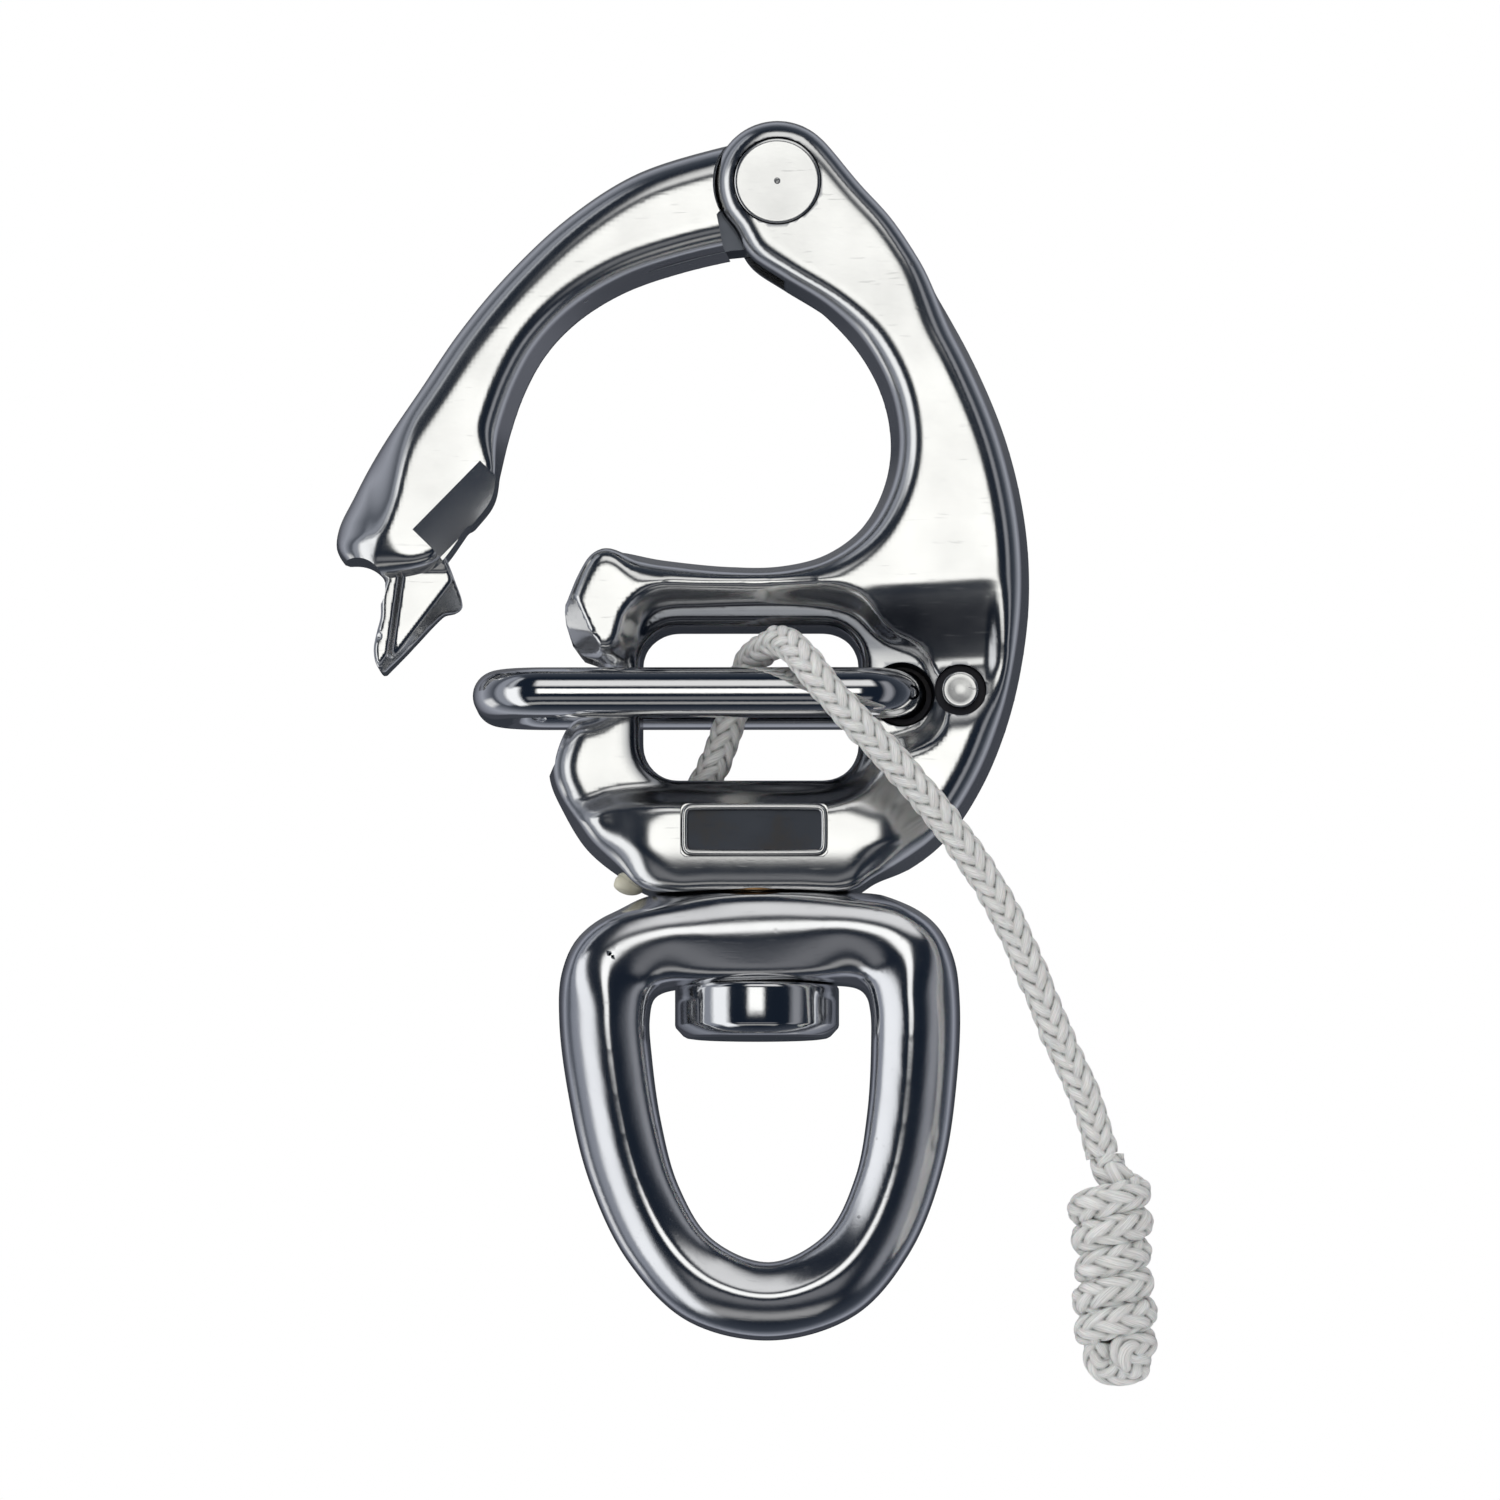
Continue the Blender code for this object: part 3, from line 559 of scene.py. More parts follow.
FORGED = steel("forged_stainless", (0.8, 0.8, 0.79), 0.17)
EYE_STEEL = steel("polished_eye", (0.74, 0.745, 0.76), 0.15)
RING_STEEL = steel("polished_ring", (0.8, 0.8, 0.8), 0.07, pits=0.5, scratch=0.6)
PIN_STEEL = steel("pin_steel", (0.84, 0.84, 0.83), 0.2, pits=0.5)
SPRING_PIN_STEEL = steel("spring_pin_steel", (0.8, 0.8, 0.79), 0.22, scratch=2.0)
STUD_STEEL = steel("stud_steel", (0.74, 0.745, 0.75), 0.08, pits=0.3, scratch=0.6)
# Painted shade: a dark steel for the arm's tongue, which sits back in the body's slot.
SHADED_STEEL = steel("shaded_steel", (0.12, 0.13, 0.15), 0.28, pits=0.6)
# The bores' near-black steel is painted shade for the deep holes, with grime noise on top.
BORE_SHADE_AND_GRIME = steel("bore_painted_shade_and_grime", (0.07, 0.07, 0.08), 0.5, pits=1.5, dirt=0.5)
PLATE_STEEL = steel("plate_recess", (0.1, 0.11, 0.13), 0.42, pits=1.2, dirt=0.6)


def braid(name, color, shade):
    """Braided cord: fibres along each strand, with painted shade where strands pass under."""
    made, t, shader = new_look(name)
    place = t.add("ShaderNodeTexCoord").outputs["Object"]
    lines = t.add("ShaderNodeVertexColor", layer_name="fibre").outputs["Color"]
    lines = t.add("ShaderNodeMapping", {"Vector": lines, "Scale": (9.0, 3.0, 40.0)}).outputs[0]
    fibre = t.noise(lines, 1.0, 3.0, 0.6)
    mottle = t.noise(place, 700.0, 2.0, 0.6)
    depth = t.add("ShaderNodeVertexColor", layer_name="depth").outputs["Color"]
    depth = t.ramp(depth, [(0.2, 0.0), (0.55, 0.75), (0.9, 1.0)])
    tint = t.mix(t.ramp(fibre, [(0.35, 0.9), (0.6, 0.0)]), color, tuple(c * 0.62 for c in color))
    tint = t.mix(t.math("MULTIPLY", mottle, 0.3), tint, tuple(c * 0.85 for c in color))
    # Painted shade: the strand height darkens the colour towards shade in the dips between strands.
    tint = t.mix(depth, shade, tint)
    t.put(shader.inputs["Base Color"], tint)
    shader.inputs["Roughness"].default_value = 0.42
    shader.inputs["Sheen Weight"].default_value = 0.15
    shader.inputs["Sheen Roughness"].default_value = 0.4
    shader.inputs["Subsurface Weight"].default_value = 0.12
    shader.inputs["Subsurface Scale"].default_value = 0.0006
    height = t.math("MULTIPLY_ADD", fibre, 0.8, mottle)
    bump = t.add("ShaderNodeBump", {"Height": height, "Strength": 0.6, "Distance": 0.00008})
    t.put(shader.inputs["Normal"], bump.outputs[0])
    return made


BRAID = braid("white_braid", (0.93, 0.93, 0.91), (0.26, 0.26, 0.25))


# ---------------------------------------------------------------- lanyard


def frames(path):
    """Rotation-minimising frames along a path."""
    tangent = np.gradient(path, axis=0)
    tangent /= np.linalg.norm(tangent, axis=1)[:, None]
    side = np.cross(tangent[0], (0.3, 0.8, 0.52))
    side /= np.linalg.norm(side)
    sides = [side]
    for t in tangent[1:]:
        side = side - t * side.dot(t)
        side = side / np.linalg.norm(side)
        sides.append(side)
    sides = np.array(sides)
    return tangent, sides, np.cross(tangent, sides)


STRANDS = 6


def weave(u, v):
    """Height, place along and place across the top strand, for two sets of strands that go over two and under two."""
    iu, iv = np.round(u), np.round(v)
    along_u = (v + iu - 0.5 + 2.0) % 4.0 - 2.0
    along_v = (u + iv - 2.5 + 2.0) % 4.0 - 2.0
    height_u = 1.0 - ((u - iu) / 0.56) ** 2 - (along_u / 1.5) ** 2
    height_v = 1.0 - ((v - iv) / 0.56) ** 2 - (along_v / 1.5) ** 2
    top = height_u > height_v
    height = np.sqrt(np.maximum(np.maximum(height_u, height_v), 0.02))
    along = np.where(top, along_u, along_v)
    across = np.where(top, u - iu, v - iv)
    return height, along, across, np.where(top, iu * 0.37, iv * 0.61 + 5.0)


def braided_tube(name, path, radius, repeat=1.4, around=72, step=0.11, relief=0.3):
    """A tube whose surface rises and falls as the strands of a braid wind round it."""
    path = np.asarray(path, float)
    along = np.concatenate([[0], np.cumsum(np.linalg.norm(np.diff(path, axis=0), axis=1))])
    s = np.linspace(0, along[-1], max(8, int(along[-1] / step)))
    centre = np.stack([np.interp(s, along, path[:, k]) for k in range(3)], 1)
    for _ in range(8):
        centre[1:-1] = 0.5 * centre[1:-1] + 0.25 * (centre[:-2] + centre[2:])
    _, side, up = frames(centre)
    angle = np.linspace(0, 2 * np.pi, around, endpoint=False)
    turn = STRANDS * angle[None, :] / (2 * np.pi)
    height, lengthwise, across, strand = weave(turn + s[:, None] / repeat, turn - s[:, None] / repeat)
    wobble = 1.0 + 0.035 * np.sin(s * 2.1) * np.sin(s * 0.73 + 1.0)
    height = height * (0.93 + 0.07 * np.sin(strand * 7.0 + s[:, None] * 1.9))
    r = radius * wobble[:, None] - relief * (1 - height)
    points = centre[:, None, :] + r[:, :, None] * (
        np.cos(angle)[None, :, None] * side[:, None, :] + np.sin(angle)[None, :, None] * up[:, None, :]
    )
    rows = len(s)
    grid = np.arange(rows * around).reshape(rows, around)
    a, b = grid[:-1], grid[1:]
    faces = np.stack([a, np.roll(a, -1, 1), np.roll(b, -1, 1), b], -1).reshape(-1, 4).tolist()
    faces += [grid[0][::-1].tolist(), grid[-1].tolist()]
    obj = outward(mesh_object(name, points.reshape(-1, 3), faces))
    # depth is the strands' height, which the cord's material turns into painted shade.
    for layer_name, values in (
        ("depth", (height, height, height)),
        ("fibre", (across * 2.0 + 1.0, lengthwise * 0.25 + 0.5, strand * 0.1)),
    ):
        layer = obj.data.color_attributes.new(layer_name, "FLOAT_COLOR", "POINT")
        values = [np.ravel(value) for value in values] + [np.ones(height.size)]
        layer.data.foreach_set("color", np.stack(values, 1).ravel().astype(np.float32))
    return obj


def make_lanyard():
    route = spline(ROPE_ROUTE, 0.35, closed=False)
    rope = dress(braided_tube("lanyard_braid", route, ROPE_RADIUS), BRAID, "shackle_body")
    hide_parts("lanyard")
    return rope, route


def make_knot():
    """A barrel knot: just over five turns round the cord, closed by a bight below."""
    top, low = np.array(KNOT_TOP), np.array(KNOT_LOW)
    axis = (low - top) / np.linalg.norm(low - top)
    side = np.cross(axis, (0.0, 1.0, 0.0))
    side /= np.linalg.norm(side)
    back = np.cross(axis, side)
    turns, pitch, radius = 5.35, 2.2, 1.85
    t = np.linspace(0, 1, 300)
    angle = 2 * np.pi * turns * t - 0.9
    down = 1.7 + turns * pitch * t
    swell = radius * (1.0 + 0.08 * np.sin(3.2 * np.pi * t + 0.2))
    coil = top + down[:, None] * axis + swell[:, None] * (
        np.cos(angle)[:, None] * side + np.sin(angle)[:, None] * back
    )
    lead = [top - axis * 0.9, top + axis * 0.2, top + axis * 0.9 + side * 0.5 + back * 0.4]
    tail = [top + axis * 14.5 + side * 1.3 + back * 0.3, top + axis * 14.9 - side * 0.2 - back * 0.5]
    tail += [top + axis * 14.2 - side * 1.3 - back * 0.6, top + axis * 12.6 - side * 1.0 - back * 0.2]
    path = spline(np.concatenate([lead, coil[::10], coil[-1:], tail]), 0.3, closed=False)
    knot = braided_tube("knot_wraps", path, 1.28)
    dress(knot, BRAID, "shackle_body")
    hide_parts("stopper_knot")
    return knot


LANYARD, LANYARD_ROUTE = make_lanyard()
KNOT = make_knot()


# ---------------------------------------------------------------- body


BODY_LOOP = spline(
    arc(PIVOT, HEAD_RADIUS, 226, 44, 13)
    + [(7.6, 79.6), (10.1, 76.8), (13.2, 71.9), (16.3, 66.2), (18.6, 60.4), (19.9, 54.4), (20.15, 49.0)]
    + [(19.6, 44.1), (18.5, 39.6), (16.7, 35.2), (14.2, 31.4), (11.4, 29.1), (8.6, 27.95)]
    + [(6.9, 27.2), (3.0, 27.2), (-3.0, 27.2), (-7.9, 27.25)]
    + [(-10.2, 28.5), (-12.6, 30.5), (-14.4, 33.4), (-15.3, 35.5), (-15.35, 37.1), (-14.4, 39.6)]
    + [(-13.4, 40.5), (-12.0, 40.9), (-11.1, 41.9), (-11.1, 43.0), (-11.9, 43.9), (-13.0, 44.6)]
    + [(-14.3, 45.7), (-14.6, 47.1), (-13.9, 48.7), (-13.1, 50.6), (-12.1, 52.1), (-10.7, 52.6)]
    + [(-7.0, 52.0), (-2.0, 51.5), (1.8, 51.55), (5.1, 52.4), (7.7, 54.3), (9.3, 57.1), (9.9, 60.2)]
    + [(9.4, 63.7), (7.8, 67.0), (5.1, 70.1), (1.9, 72.5), (-0.5, 74.3)],
    0.5,
)


def rounded_box(left, right, low, high, corner, count=9):
    loop = arc((right - corner, high - corner), corner, 90, 0, count)
    loop += arc((right - corner, low + corner), corner, 0, -90, count)
    loop += arc((left + corner, low + corner), corner, -90, -180, count)
    return loop + arc((left + corner, high - corner), corner, 180, 90, count)


RING_SWEEP = spline(
    [(-20.0, 44.2), (-11.0, 44.2), (-9.6, 45.2), (-8.9, 47.4), (-7.4, 48.7), (-4.0, 49.0), (4.0, 49.0), (7.4, 48.2)]
    + [(9.6, 46.2), (12.4, 44.9), (13.6, 42.0), (12.6, 39.0), (9.6, 37.6), (8.0, 35.6), (5.4, 34.3), (-8.4, 34.3)]
    + [(-10.8, 34.0), (-12.6, 33.4), (-16.0, 34.2), (-20.0, 36.0)],
    0.6,
)
PAD_LOOP = [
    (-6.6, 33.9), (6.6, 33.9), (9.8, 32.8), (10.0, 30.6), (7.4, 27.8), (5.0, 25.0), (-5.0, 25.0), (-7.0, 27.8),
    (-8.8, 30.4), (-8.6, 32.6),
]
BODY_LOW, BODY_HIGH = (-21.0, 26.0), (22.0, 86.0)
BODY_EDGE = Field(BODY_LOOP, BODY_LOW, BODY_HIGH)
SLOT_EDGE = Field(rounded_box(-8.4, 7.5, 35.6, 46.6, 2.6), BODY_LOW, BODY_HIGH)
SWEEP_EDGE = Field(RING_SWEEP, BODY_LOW, BODY_HIGH, blur=0.4)
PAD_EDGE = Field(PAD_LOOP, BODY_LOW, BODY_HIGH, blur=0.6)
DRAFT, SLOT_DRAFT = 0.16, 0.06
PIN_GAP = 0.06
NOSE_GAP = 0.45


def dish(x, z):
    """How deep the hollow at the right of the slot is, 0 to 1."""
    slanted = z - 0.06 * (x - 10.0)
    fall = np.clip((49.9 - slanted) * 0.115, 0, 0.72) * smooth(50.6 - slanted, 0.0, 1.6)
    back = smooth(slanted, 38.4, 44.2)
    return fall * back * smooth(18.9 - x, 0.0, 2.2) * smooth(x, 6.0, 9.0)


def body_painted_shade(x, z):
    """Where the forging gets painted shade: the hollow, the channel over the slot and the slot's own rim."""
    channel = smooth(-SWEEP_EDGE(x, z), -0.6, 1.2) * smooth(z, 43.8, 45.4) * smooth(x, -12.0, -9.6)
    rim = smooth(1.9 - SLOT_EDGE(x, z), 0.0, 1.3)
    hollow = smooth(dish(x, z), 0.02, 0.3) * smooth(z, 41.5, 47.0) * (1.0 - 0.4 * smooth(x, 10.0, 18.0))
    return np.maximum(np.maximum(channel, rim), hollow)


def left_plane(*points):
    """The plane of three points, its normal to the left, as (normal, offset)."""
    a, b, c = (np.array(p, float) for p in points)
    normal = np.cross(b - a, c - a)
    normal *= -np.sign(normal[0]) / np.linalg.norm(normal)
    return normal, normal @ a


FACE_TOP, FACE_LOW = (-13.5, BODY_HALF, 49.5), (-11.95, BODY_HALF, 46.0)
JAW_RIDGE, JAW_UNDER = (-14.9, 2.6, 47.3), (-12.4, 3.4, 44.6)
JAW_BEVELS = [left_plane(FACE_TOP, FACE_LOW, JAW_RIDGE), left_plane(FACE_LOW, JAW_RIDGE, JAW_UNDER)]


def body_shape(x, y, z):
    ay = np.abs(y)
    edge, slot, sweep, pad = BODY_EDGE(x, z), SLOT_EDGE(x, z), SWEEP_EDGE(x, z), PAD_EDGE(x, z)
    half = BODY_HALF + (PAD_HALF - BODY_HALF) * smooth(-pad, -2.6, 1.2)
    half = half - (half - RECESS_HALF) * np.maximum(smooth(-sweep, -1.3, 0.9), dish(x, z))
    foot = smooth(30.5 - z, 0.0, 3.5) * smooth(13.0 - np.abs(x), 0.0, 4.0)
    jaw = smooth(-x, 8.5, 11.5) * smooth(z, 44.0, 45.0) * smooth(55.0 - z, 0.0, 2.4)
    crisp = np.maximum(foot, jaw)
    draft = DRAFT * smooth(74.0 - z, 0.0, 6.0) * (1 - crisp)
    half = half - 0.04 * np.maximum(30.8 - z, 0) ** 2
    wall = (edge + draft * ay) / np.hypot(1, draft)
    solid = meet(wall, ay - half, 1.6 - 0.95 * foot - 0.5 * jaw)
    for normal, offset in JAW_BEVELS:
        cut = normal[0] * x + normal[1] * ay + normal[2] * z - offset
        solid = np.maximum(solid, cut - 4.0 * np.maximum(44.2 - z, 0))
    return meet(solid, -slot + SLOT_DRAFT * ay, 0.7)


def nose_room():
    """The outline of the shut arm's nose, a little larger all round."""
    shut = np.array([turned(p, PIVOT, ARM_CLOSED_DEG) for p in NOSE_LOOP])
    away = shut - shut.mean(axis=0)
    return (shut + away / np.linalg.norm(away, axis=1)[:, None] * NOSE_GAP).tolist()


def mark_painted_shade(obj, painted_shade):
    """Stores a painted shade for each point, as dark as its surroundings are, for the steel to use."""
    points = np.empty(len(obj.data.vertices) * 3)
    obj.data.vertices.foreach_get("co", points)
    points = points.reshape(-1, 3) / MM
    tone = painted_shade(points[:, 0], points[:, 2])
    layer = obj.data.color_attributes.new("painted_shade", "FLOAT_COLOR", "POINT")
    layer.data.foreach_set("color", np.stack([tone] * 4, 1).ravel().astype(np.float32))


def tinted(obj, look):
    obj.data.materials.append(look)
    return obj


def make_body():
    points, quads = surface(body_shape, (-17.0, -7.4, 26.3), (21.4, 7.4, 85.4), 0.34)
    body = outward(mesh_object("forged_body", points, quads))
    # Painted shade in the hollow, the channel and round the slot.
    mark_painted_shade(body, body_painted_shade)
    px, pz = PIVOT
    fork = [(-8.0, 9.0), (3.3, 6.0), (4.9, 1.4), (4.0, -3.0), (1.6, -6.8), (-3.0, -8.2), (-9.0, -8.0)]
    start, end = (turned(p, PIVOT, ARM_CLOSED_DEG) for p in ARM_STEP)
    wide, narrow = ARM_HALF + 0.35, TONGUE_HALF + 0.3
    notch = [(-6.0, wide + 2), (-0.2, wide + 2), (-0.2, wide), (WEDGE_RUN + 0.1, narrow), (NOTCH_REACH, narrow)]
    notch += [(n, -y) for n, y in reversed(notch)]
    cuts = [
        ("DIFFERENCE", prism([(px + x, pz + z) for x, z in fork], -FORK_SLOT_HALF, FORK_SLOT_HALF)),
        ("DIFFERENCE", bar((px, -9, pz), (px, 9, pz), PIN_RADIUS + PIN_GAP, 96)),
        # The stud's bore takes the painted shade steel.
        ("DIFFERENCE", tinted(bar((0, 0, 25), (0, 0, 28.2), 5.46, 96), BORE_SHADE_AND_GRIME)),
        ("DIFFERENCE", edge_prism(start, end, notch, 14.0, 6.0)),
        ("DIFFERENCE", prism(nose_room(), -narrow, narrow)),
    ]
    # The ring's holes and their chamfers, then the spring pin's: centre, start and end in Y, radius at each.
    holes = [(RING_PIVOT, 1.5, 9.0, 2.2, 2.2), (RING_PIVOT, 3.2, 4.4, 2.2, 2.5), (SPRING_PIN, 3.3, 9.0, 1.85, 2.1)]
    for side in (-1, 1):
        for (x, z), near, far, radius, mouth in holes:
            hole = bar((x, side * near, z), (x, side * far, z), radius, 64, mouth)
            # Each hole's walls take the painted shade steel.
            cuts.append(("DIFFERENCE", tinted(hole, BORE_SHADE_AND_GRIME)))
    plate = rounded_box(-5.55, 5.25, 29.65, 33.55, 0.5, 5)
    cuts.append(("DIFFERENCE", prism(plate, -9.0, PLATE_DEPTH - PAD_HALF)))
    apply_booleans(body, cuts, FORGED)
    dress(body, FORGED, "shackle_body")
    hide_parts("body")


make_body()


# ---------------------------------------------------------------- bail arm


ARM_OUTER = np.concatenate([
    spline(
        [(1.6, 83.4), (-0.2, 83.2), (-2.7, 82.7), (-9.0, 80.7), (-14.0, 77.5), (-18.5, 73.3), (-22.1, 69.0)]
        + [(-25.0, 64.7), (-27.8, 60.5), (-29.9, 56.7), (-31.0, 54.3), (-31.15, 52.8), (-30.4, 51.5), (-28.6, 50.2)]
        + [(-26.0, 50.4), (-23.6, 51.1), (-22.7, 52.0), (-21.3, 54.0)],
        0.4,
        closed=False,
    ),
    [(12.0, 54.0), (12.0, 84.0)],
])
ARM_INNER = np.concatenate([
    spline(
        [(-24.9, 49.2), (-23.2, 51.3), (-21.3, 54.0), (-19.6, 56.2), (-19.1, 58.0), (-18.3, 61.2), (-17.2, 64.4)]
        + [(-15.6, 67.3), (-13.2, 69.8), (-9.8, 71.9), (-5.5, 73.4), (-0.6, 74.5), (3.0, 75.0)],
        0.4,
        closed=False,
    ),
    [(8.0, 90.0), (-40.0, 90.0), (-40.0, 40.0)],
])
ARM_LOW, ARM_HIGH = (-33.0, 42.0), (8.0, 86.0)
ARM_END = 1.1
GROOVE_GAP = 0.3
OUTER_EDGE = Field(ARM_OUTER, ARM_LOW, ARM_HIGH)
INNER_EDGE = Field(ARM_INNER, ARM_LOW, ARM_HIGH)
NOSE_EDGE = Field(spline(NOSE_LOOP, 0.3), ARM_LOW, ARM_HIGH, 0.15)


def arm_shape(x, y, z):
    """An even round on the limb, a broad one down the outside of the toe, and a crisp inner side at the wedge.

    It ends at ARM_END, inside the surface's bounds, because a Boolean needs a closed mesh.
    """
    ay = np.abs(y)
    toe = smooth(66.0 - z, 0.0, 10.0) * smooth(-x, 25.0, 28.6) * (0.35 + 0.65 * smooth(z, 50.6, 54.5))
    outer = (OUTER_EDGE(x, z) + 0.1 * ay) / math.hypot(1, 0.1)
    solid = meet(outer, ay - ARM_HALF, 0.9 + 1.2 * smooth(z, 52.0, 57.0) + 3.3 * toe)
    near_wedge = smooth(62.0 - z, 0.0, 5.0)
    inner_draft = 0.2 * (1 - near_wedge) + 0.02
    inner = (INNER_EDGE(x, z) + inner_draft * ay) / np.hypot(1, inner_draft)
    return np.maximum(meet(solid, inner, 1.1 * (1 - near_wedge) + 0.25), x - ARM_END)


def nose_shape(x, y, z):
    """A blade with a round rail down its outer side, a lower flat beside it and a bevel on its lower right."""
    ay = np.abs(y)
    edge = NOSE_EDGE(x, z)
    inboard = (x + 26.6) * 0.93 - (z - 47.0) * 0.13
    half = 2.45 - 0.5 * smooth(inboard, -0.5, 0.1) * smooth(52.0 - z, 0.0, 1.2)
    pit = np.hypot(x + 28.0, z - 46.2) - 0.35
    solid = meet(edge, ay - half, 0.35)
    solid = np.maximum(solid, -np.maximum(pit, 2.2 - ay))
    right = (x + 22.7) * 0.797 - (z - 50.2) * 0.604
    return meet(solid, (right + (ay - 1.95)) * 0.707, 0.1)


def make_arm():
    points, quads = surface(arm_shape, (-32.0, -5.6, 49.0), (1.6, 5.6, 84.4), 0.33)
    arm = outward(mesh_object("forged_arm", points, quads))
    px, pz = PIVOT
    limb = [turned(p, PIVOT, -ARM_CLOSED_DEG) for p in ((6.0, 69.0), (1.7, 72.1), (-0.9, 73.95), (-2.0, 75.95))]
    limb += [(3.0, 84.0), (8.0, 78.0)]
    tongue = arc(PIVOT, HEAD_RADIUS - 0.15, 120, -75, 40)
    tongue += [(0.4, 75.0), (-2.0, 74.75), (-4.0, 74.3), (-9.0, 72.9), (-9.5, 80.0), (-4.0, 81.5)]
    run = [(0.0, ARM_HALF), (WEDGE_RUN, TONGUE_HALF), (9.0, TONGUE_HALF), (9.0, 9.0), (0.0, 9.0)]
    nose_points, nose_quads = surface(nose_shape, (-29.2, -3.0, 42.6), (-20.8, 3.0, 54.2), 0.2)
    nose = outward(mesh_object("nose", nose_points, nose_quads))
    groove = turned((RING_LEFT, RING_PIVOT[1]), PIVOT, -ARM_CLOSED_DEG)
    steps = [
        ("DIFFERENCE", bar((px, -9, pz), (px, 9, pz), HEAD_RADIUS + 0.12, 128)),
        ("DIFFERENCE", prism(limb, -9.0, 9.0)),
        # The tongue takes the painted shade steel.
        ("UNION", tinted(prism(tongue, -TONGUE_HALF + 0.05, TONGUE_HALF - 0.05), SHADED_STEEL)),
    ]
    steps += [("DIFFERENCE", edge_prism(*ARM_STEP, [(n, s * y) for n, y in run], 0.2, 0.9)) for s in (-1, 1)]
    steps += [
        ("UNION", nose),
        ("DIFFERENCE", bar((groove[0], -9, groove[1]), (groove[0], 9, groove[1]), RING_WIRE + GROOVE_GAP, 64)),
        ("DIFFERENCE", bar((px, -9, pz), (px, 9, pz), PIN_RADIUS + PIN_GAP, 96)),
    ]
    apply_booleans(arm, steps, FORGED)
    dress(arm, FORGED, "bail_arm")
    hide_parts("bail_arm")


make_arm()


# ---------------------------------------------------------------- pins, ring, stud


def turned_solid(name, profile, centre, axis, steps=96):
    """A solid of revolution from (radius, distance along the axis) pairs."""
    profile = np.array(profile, float)
    angle = np.linspace(0, 2 * np.pi, steps, endpoint=False)
    turn = np.array(Vector(axis).to_track_quat("Z", "Y").to_matrix())
    rings, faces, points = [], [], []
    for radius, along in profile:
        if radius < 1e-6:
            rings.append([len(points)])
            points.append((0.0, 0.0, along))
        else:
            rings.append(list(range(len(points), len(points) + steps)))
            points += [(radius * math.cos(a), radius * math.sin(a), along) for a in angle]
    for one, two in zip(rings, rings[1:]):
        for i in range(steps):
            j = (i + 1) % steps
            if len(one) == 1:
                faces.append([one[0], two[i], two[j]])
            elif len(two) == 1:
                faces.append([one[i], two[0], one[j]])
            else:
                faces.append([one[i], two[i], two[j], one[j]])
    placed = np.array(points) @ turn.T + np.array(centre)
    return outward(mesh_object(name, placed, faces))


def make_pivot_pin():
    reach = BODY_HALF - 0.03
    half = [(0.0, reach - 0.25), (0.1, reach - 0.2), (0.2, reach - 0.03), (0.24, reach), (0.3, reach), (1.6, reach)]
    half += [(PIN_RADIUS - 0.3, reach), (PIN_RADIUS - 0.14, reach), (PIN_RADIUS - 0.05, reach - 0.05)]
    half += [(PIN_RADIUS - 0.03, reach - 0.3)]
    profile = half + [(r, -a) for r, a in reversed(half)]
    pin = turned_solid("riveted_pin", profile, (PIVOT[0], 0, PIVOT[1]), (0, 1, 0))
    dress(pin, PIN_STEEL, "shackle_body", 30)
    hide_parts("pivot_pin")


def make_spring_pin():
    reach = BODY_HALF - 0.75
    half = [(0.0, reach - 0.1), (0.45, reach - 0.08), (0.85, reach - 0.02), (1.1, reach), (1.28, reach)]
    half += [(SPRING_PIN_RADIUS, reach - 0.06), (SPRING_PIN_RADIUS, reach - 0.4)]
    profile = half + [(r, -a) for r, a in reversed(half)]
    pin = turned_solid("dimpled_pin", profile, (SPRING_PIN[0], 0, SPRING_PIN[1]), (0, 1, 0), 64)
    dress(pin, SPRING_PIN_STEEL, "shackle_body", 50)
    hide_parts("spring_pin")


def sweep(name, path, radius, around, up):
    """A round tube along a closed path in the plane across up."""
    path, up = np.asarray(path, float), np.array(up, float)
    tangent = np.roll(path, -1, 0) - np.roll(path, 1, 0)
    tangent /= np.linalg.norm(tangent, axis=1)[:, None]
    side = np.cross(tangent, up)
    angle = np.linspace(0, 2 * np.pi, around, endpoint=False)
    points = path[:, None, :] + radius * (
        np.cos(angle)[None, :, None] * side[:, None, :] + np.sin(angle)[None, :, None] * up
    )
    grid = np.arange(len(path) * around).reshape(len(path), around)
    faces = np.stack(
        [grid, np.roll(grid, -1, 1), np.roll(np.roll(grid, -1, 1), -1, 0), np.roll(grid, -1, 0)], -1
    )
    return outward(mesh_object(name, points.reshape(-1, 3), faces.reshape(-1, 4).tolist()))


def make_ring():
    right, left, gap, corner = RING_PIVOT[0], RING_LEFT, RING_HALF_GAP, RING_CORNER
    path = []
    corners = [(right - corner, gap - corner), (left + corner, gap - corner)]
    corners += [(left + corner, corner - gap), (right - corner, corner - gap)]
    for k, (cx, cy) in enumerate(corners):
        path += [(x, y, RING_PIVOT[1]) for x, y in arc((cx, cy), corner, 90 * k, 90 * k + 90, 24)]
    ring = sweep("ring_wire", path, RING_WIRE, 48, (0, 0, 1))
    dress(ring, RING_STEEL, "locking_ring", 60)
    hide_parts("locking_ring")


def make_stud():
    profile = [(0.0, 31.4), (3.2, 31.4), (3.2, 27.2), (3.75, 27.0), (3.75, 20.5), (5.6, 20.48), (5.8, 20.45)]
    profile += [(5.95, 20.36), (6.04, 20.2), (6.06, 20.0), (6.06, 17.5), (6.0, 17.3), (5.45, 16.7)]
    profile += [(5.2, 16.56), (4.8, 16.5), (0.0, 16.5)]
    stud = turned_solid("stud_turned", profile, (0, 0, 0), (0, 0, 1), 128)
    dress(stud, STUD_STEEL, "shackle_body", 30)
    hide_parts("swivel_stud")


make_pivot_pin()
make_spring_pin()
make_ring()
make_stud()


# ---------------------------------------------------------------- swivel eye


def mirrored(half):
    return half + [(-x, z) for x, z in reversed(half) if abs(x) > 1e-6]


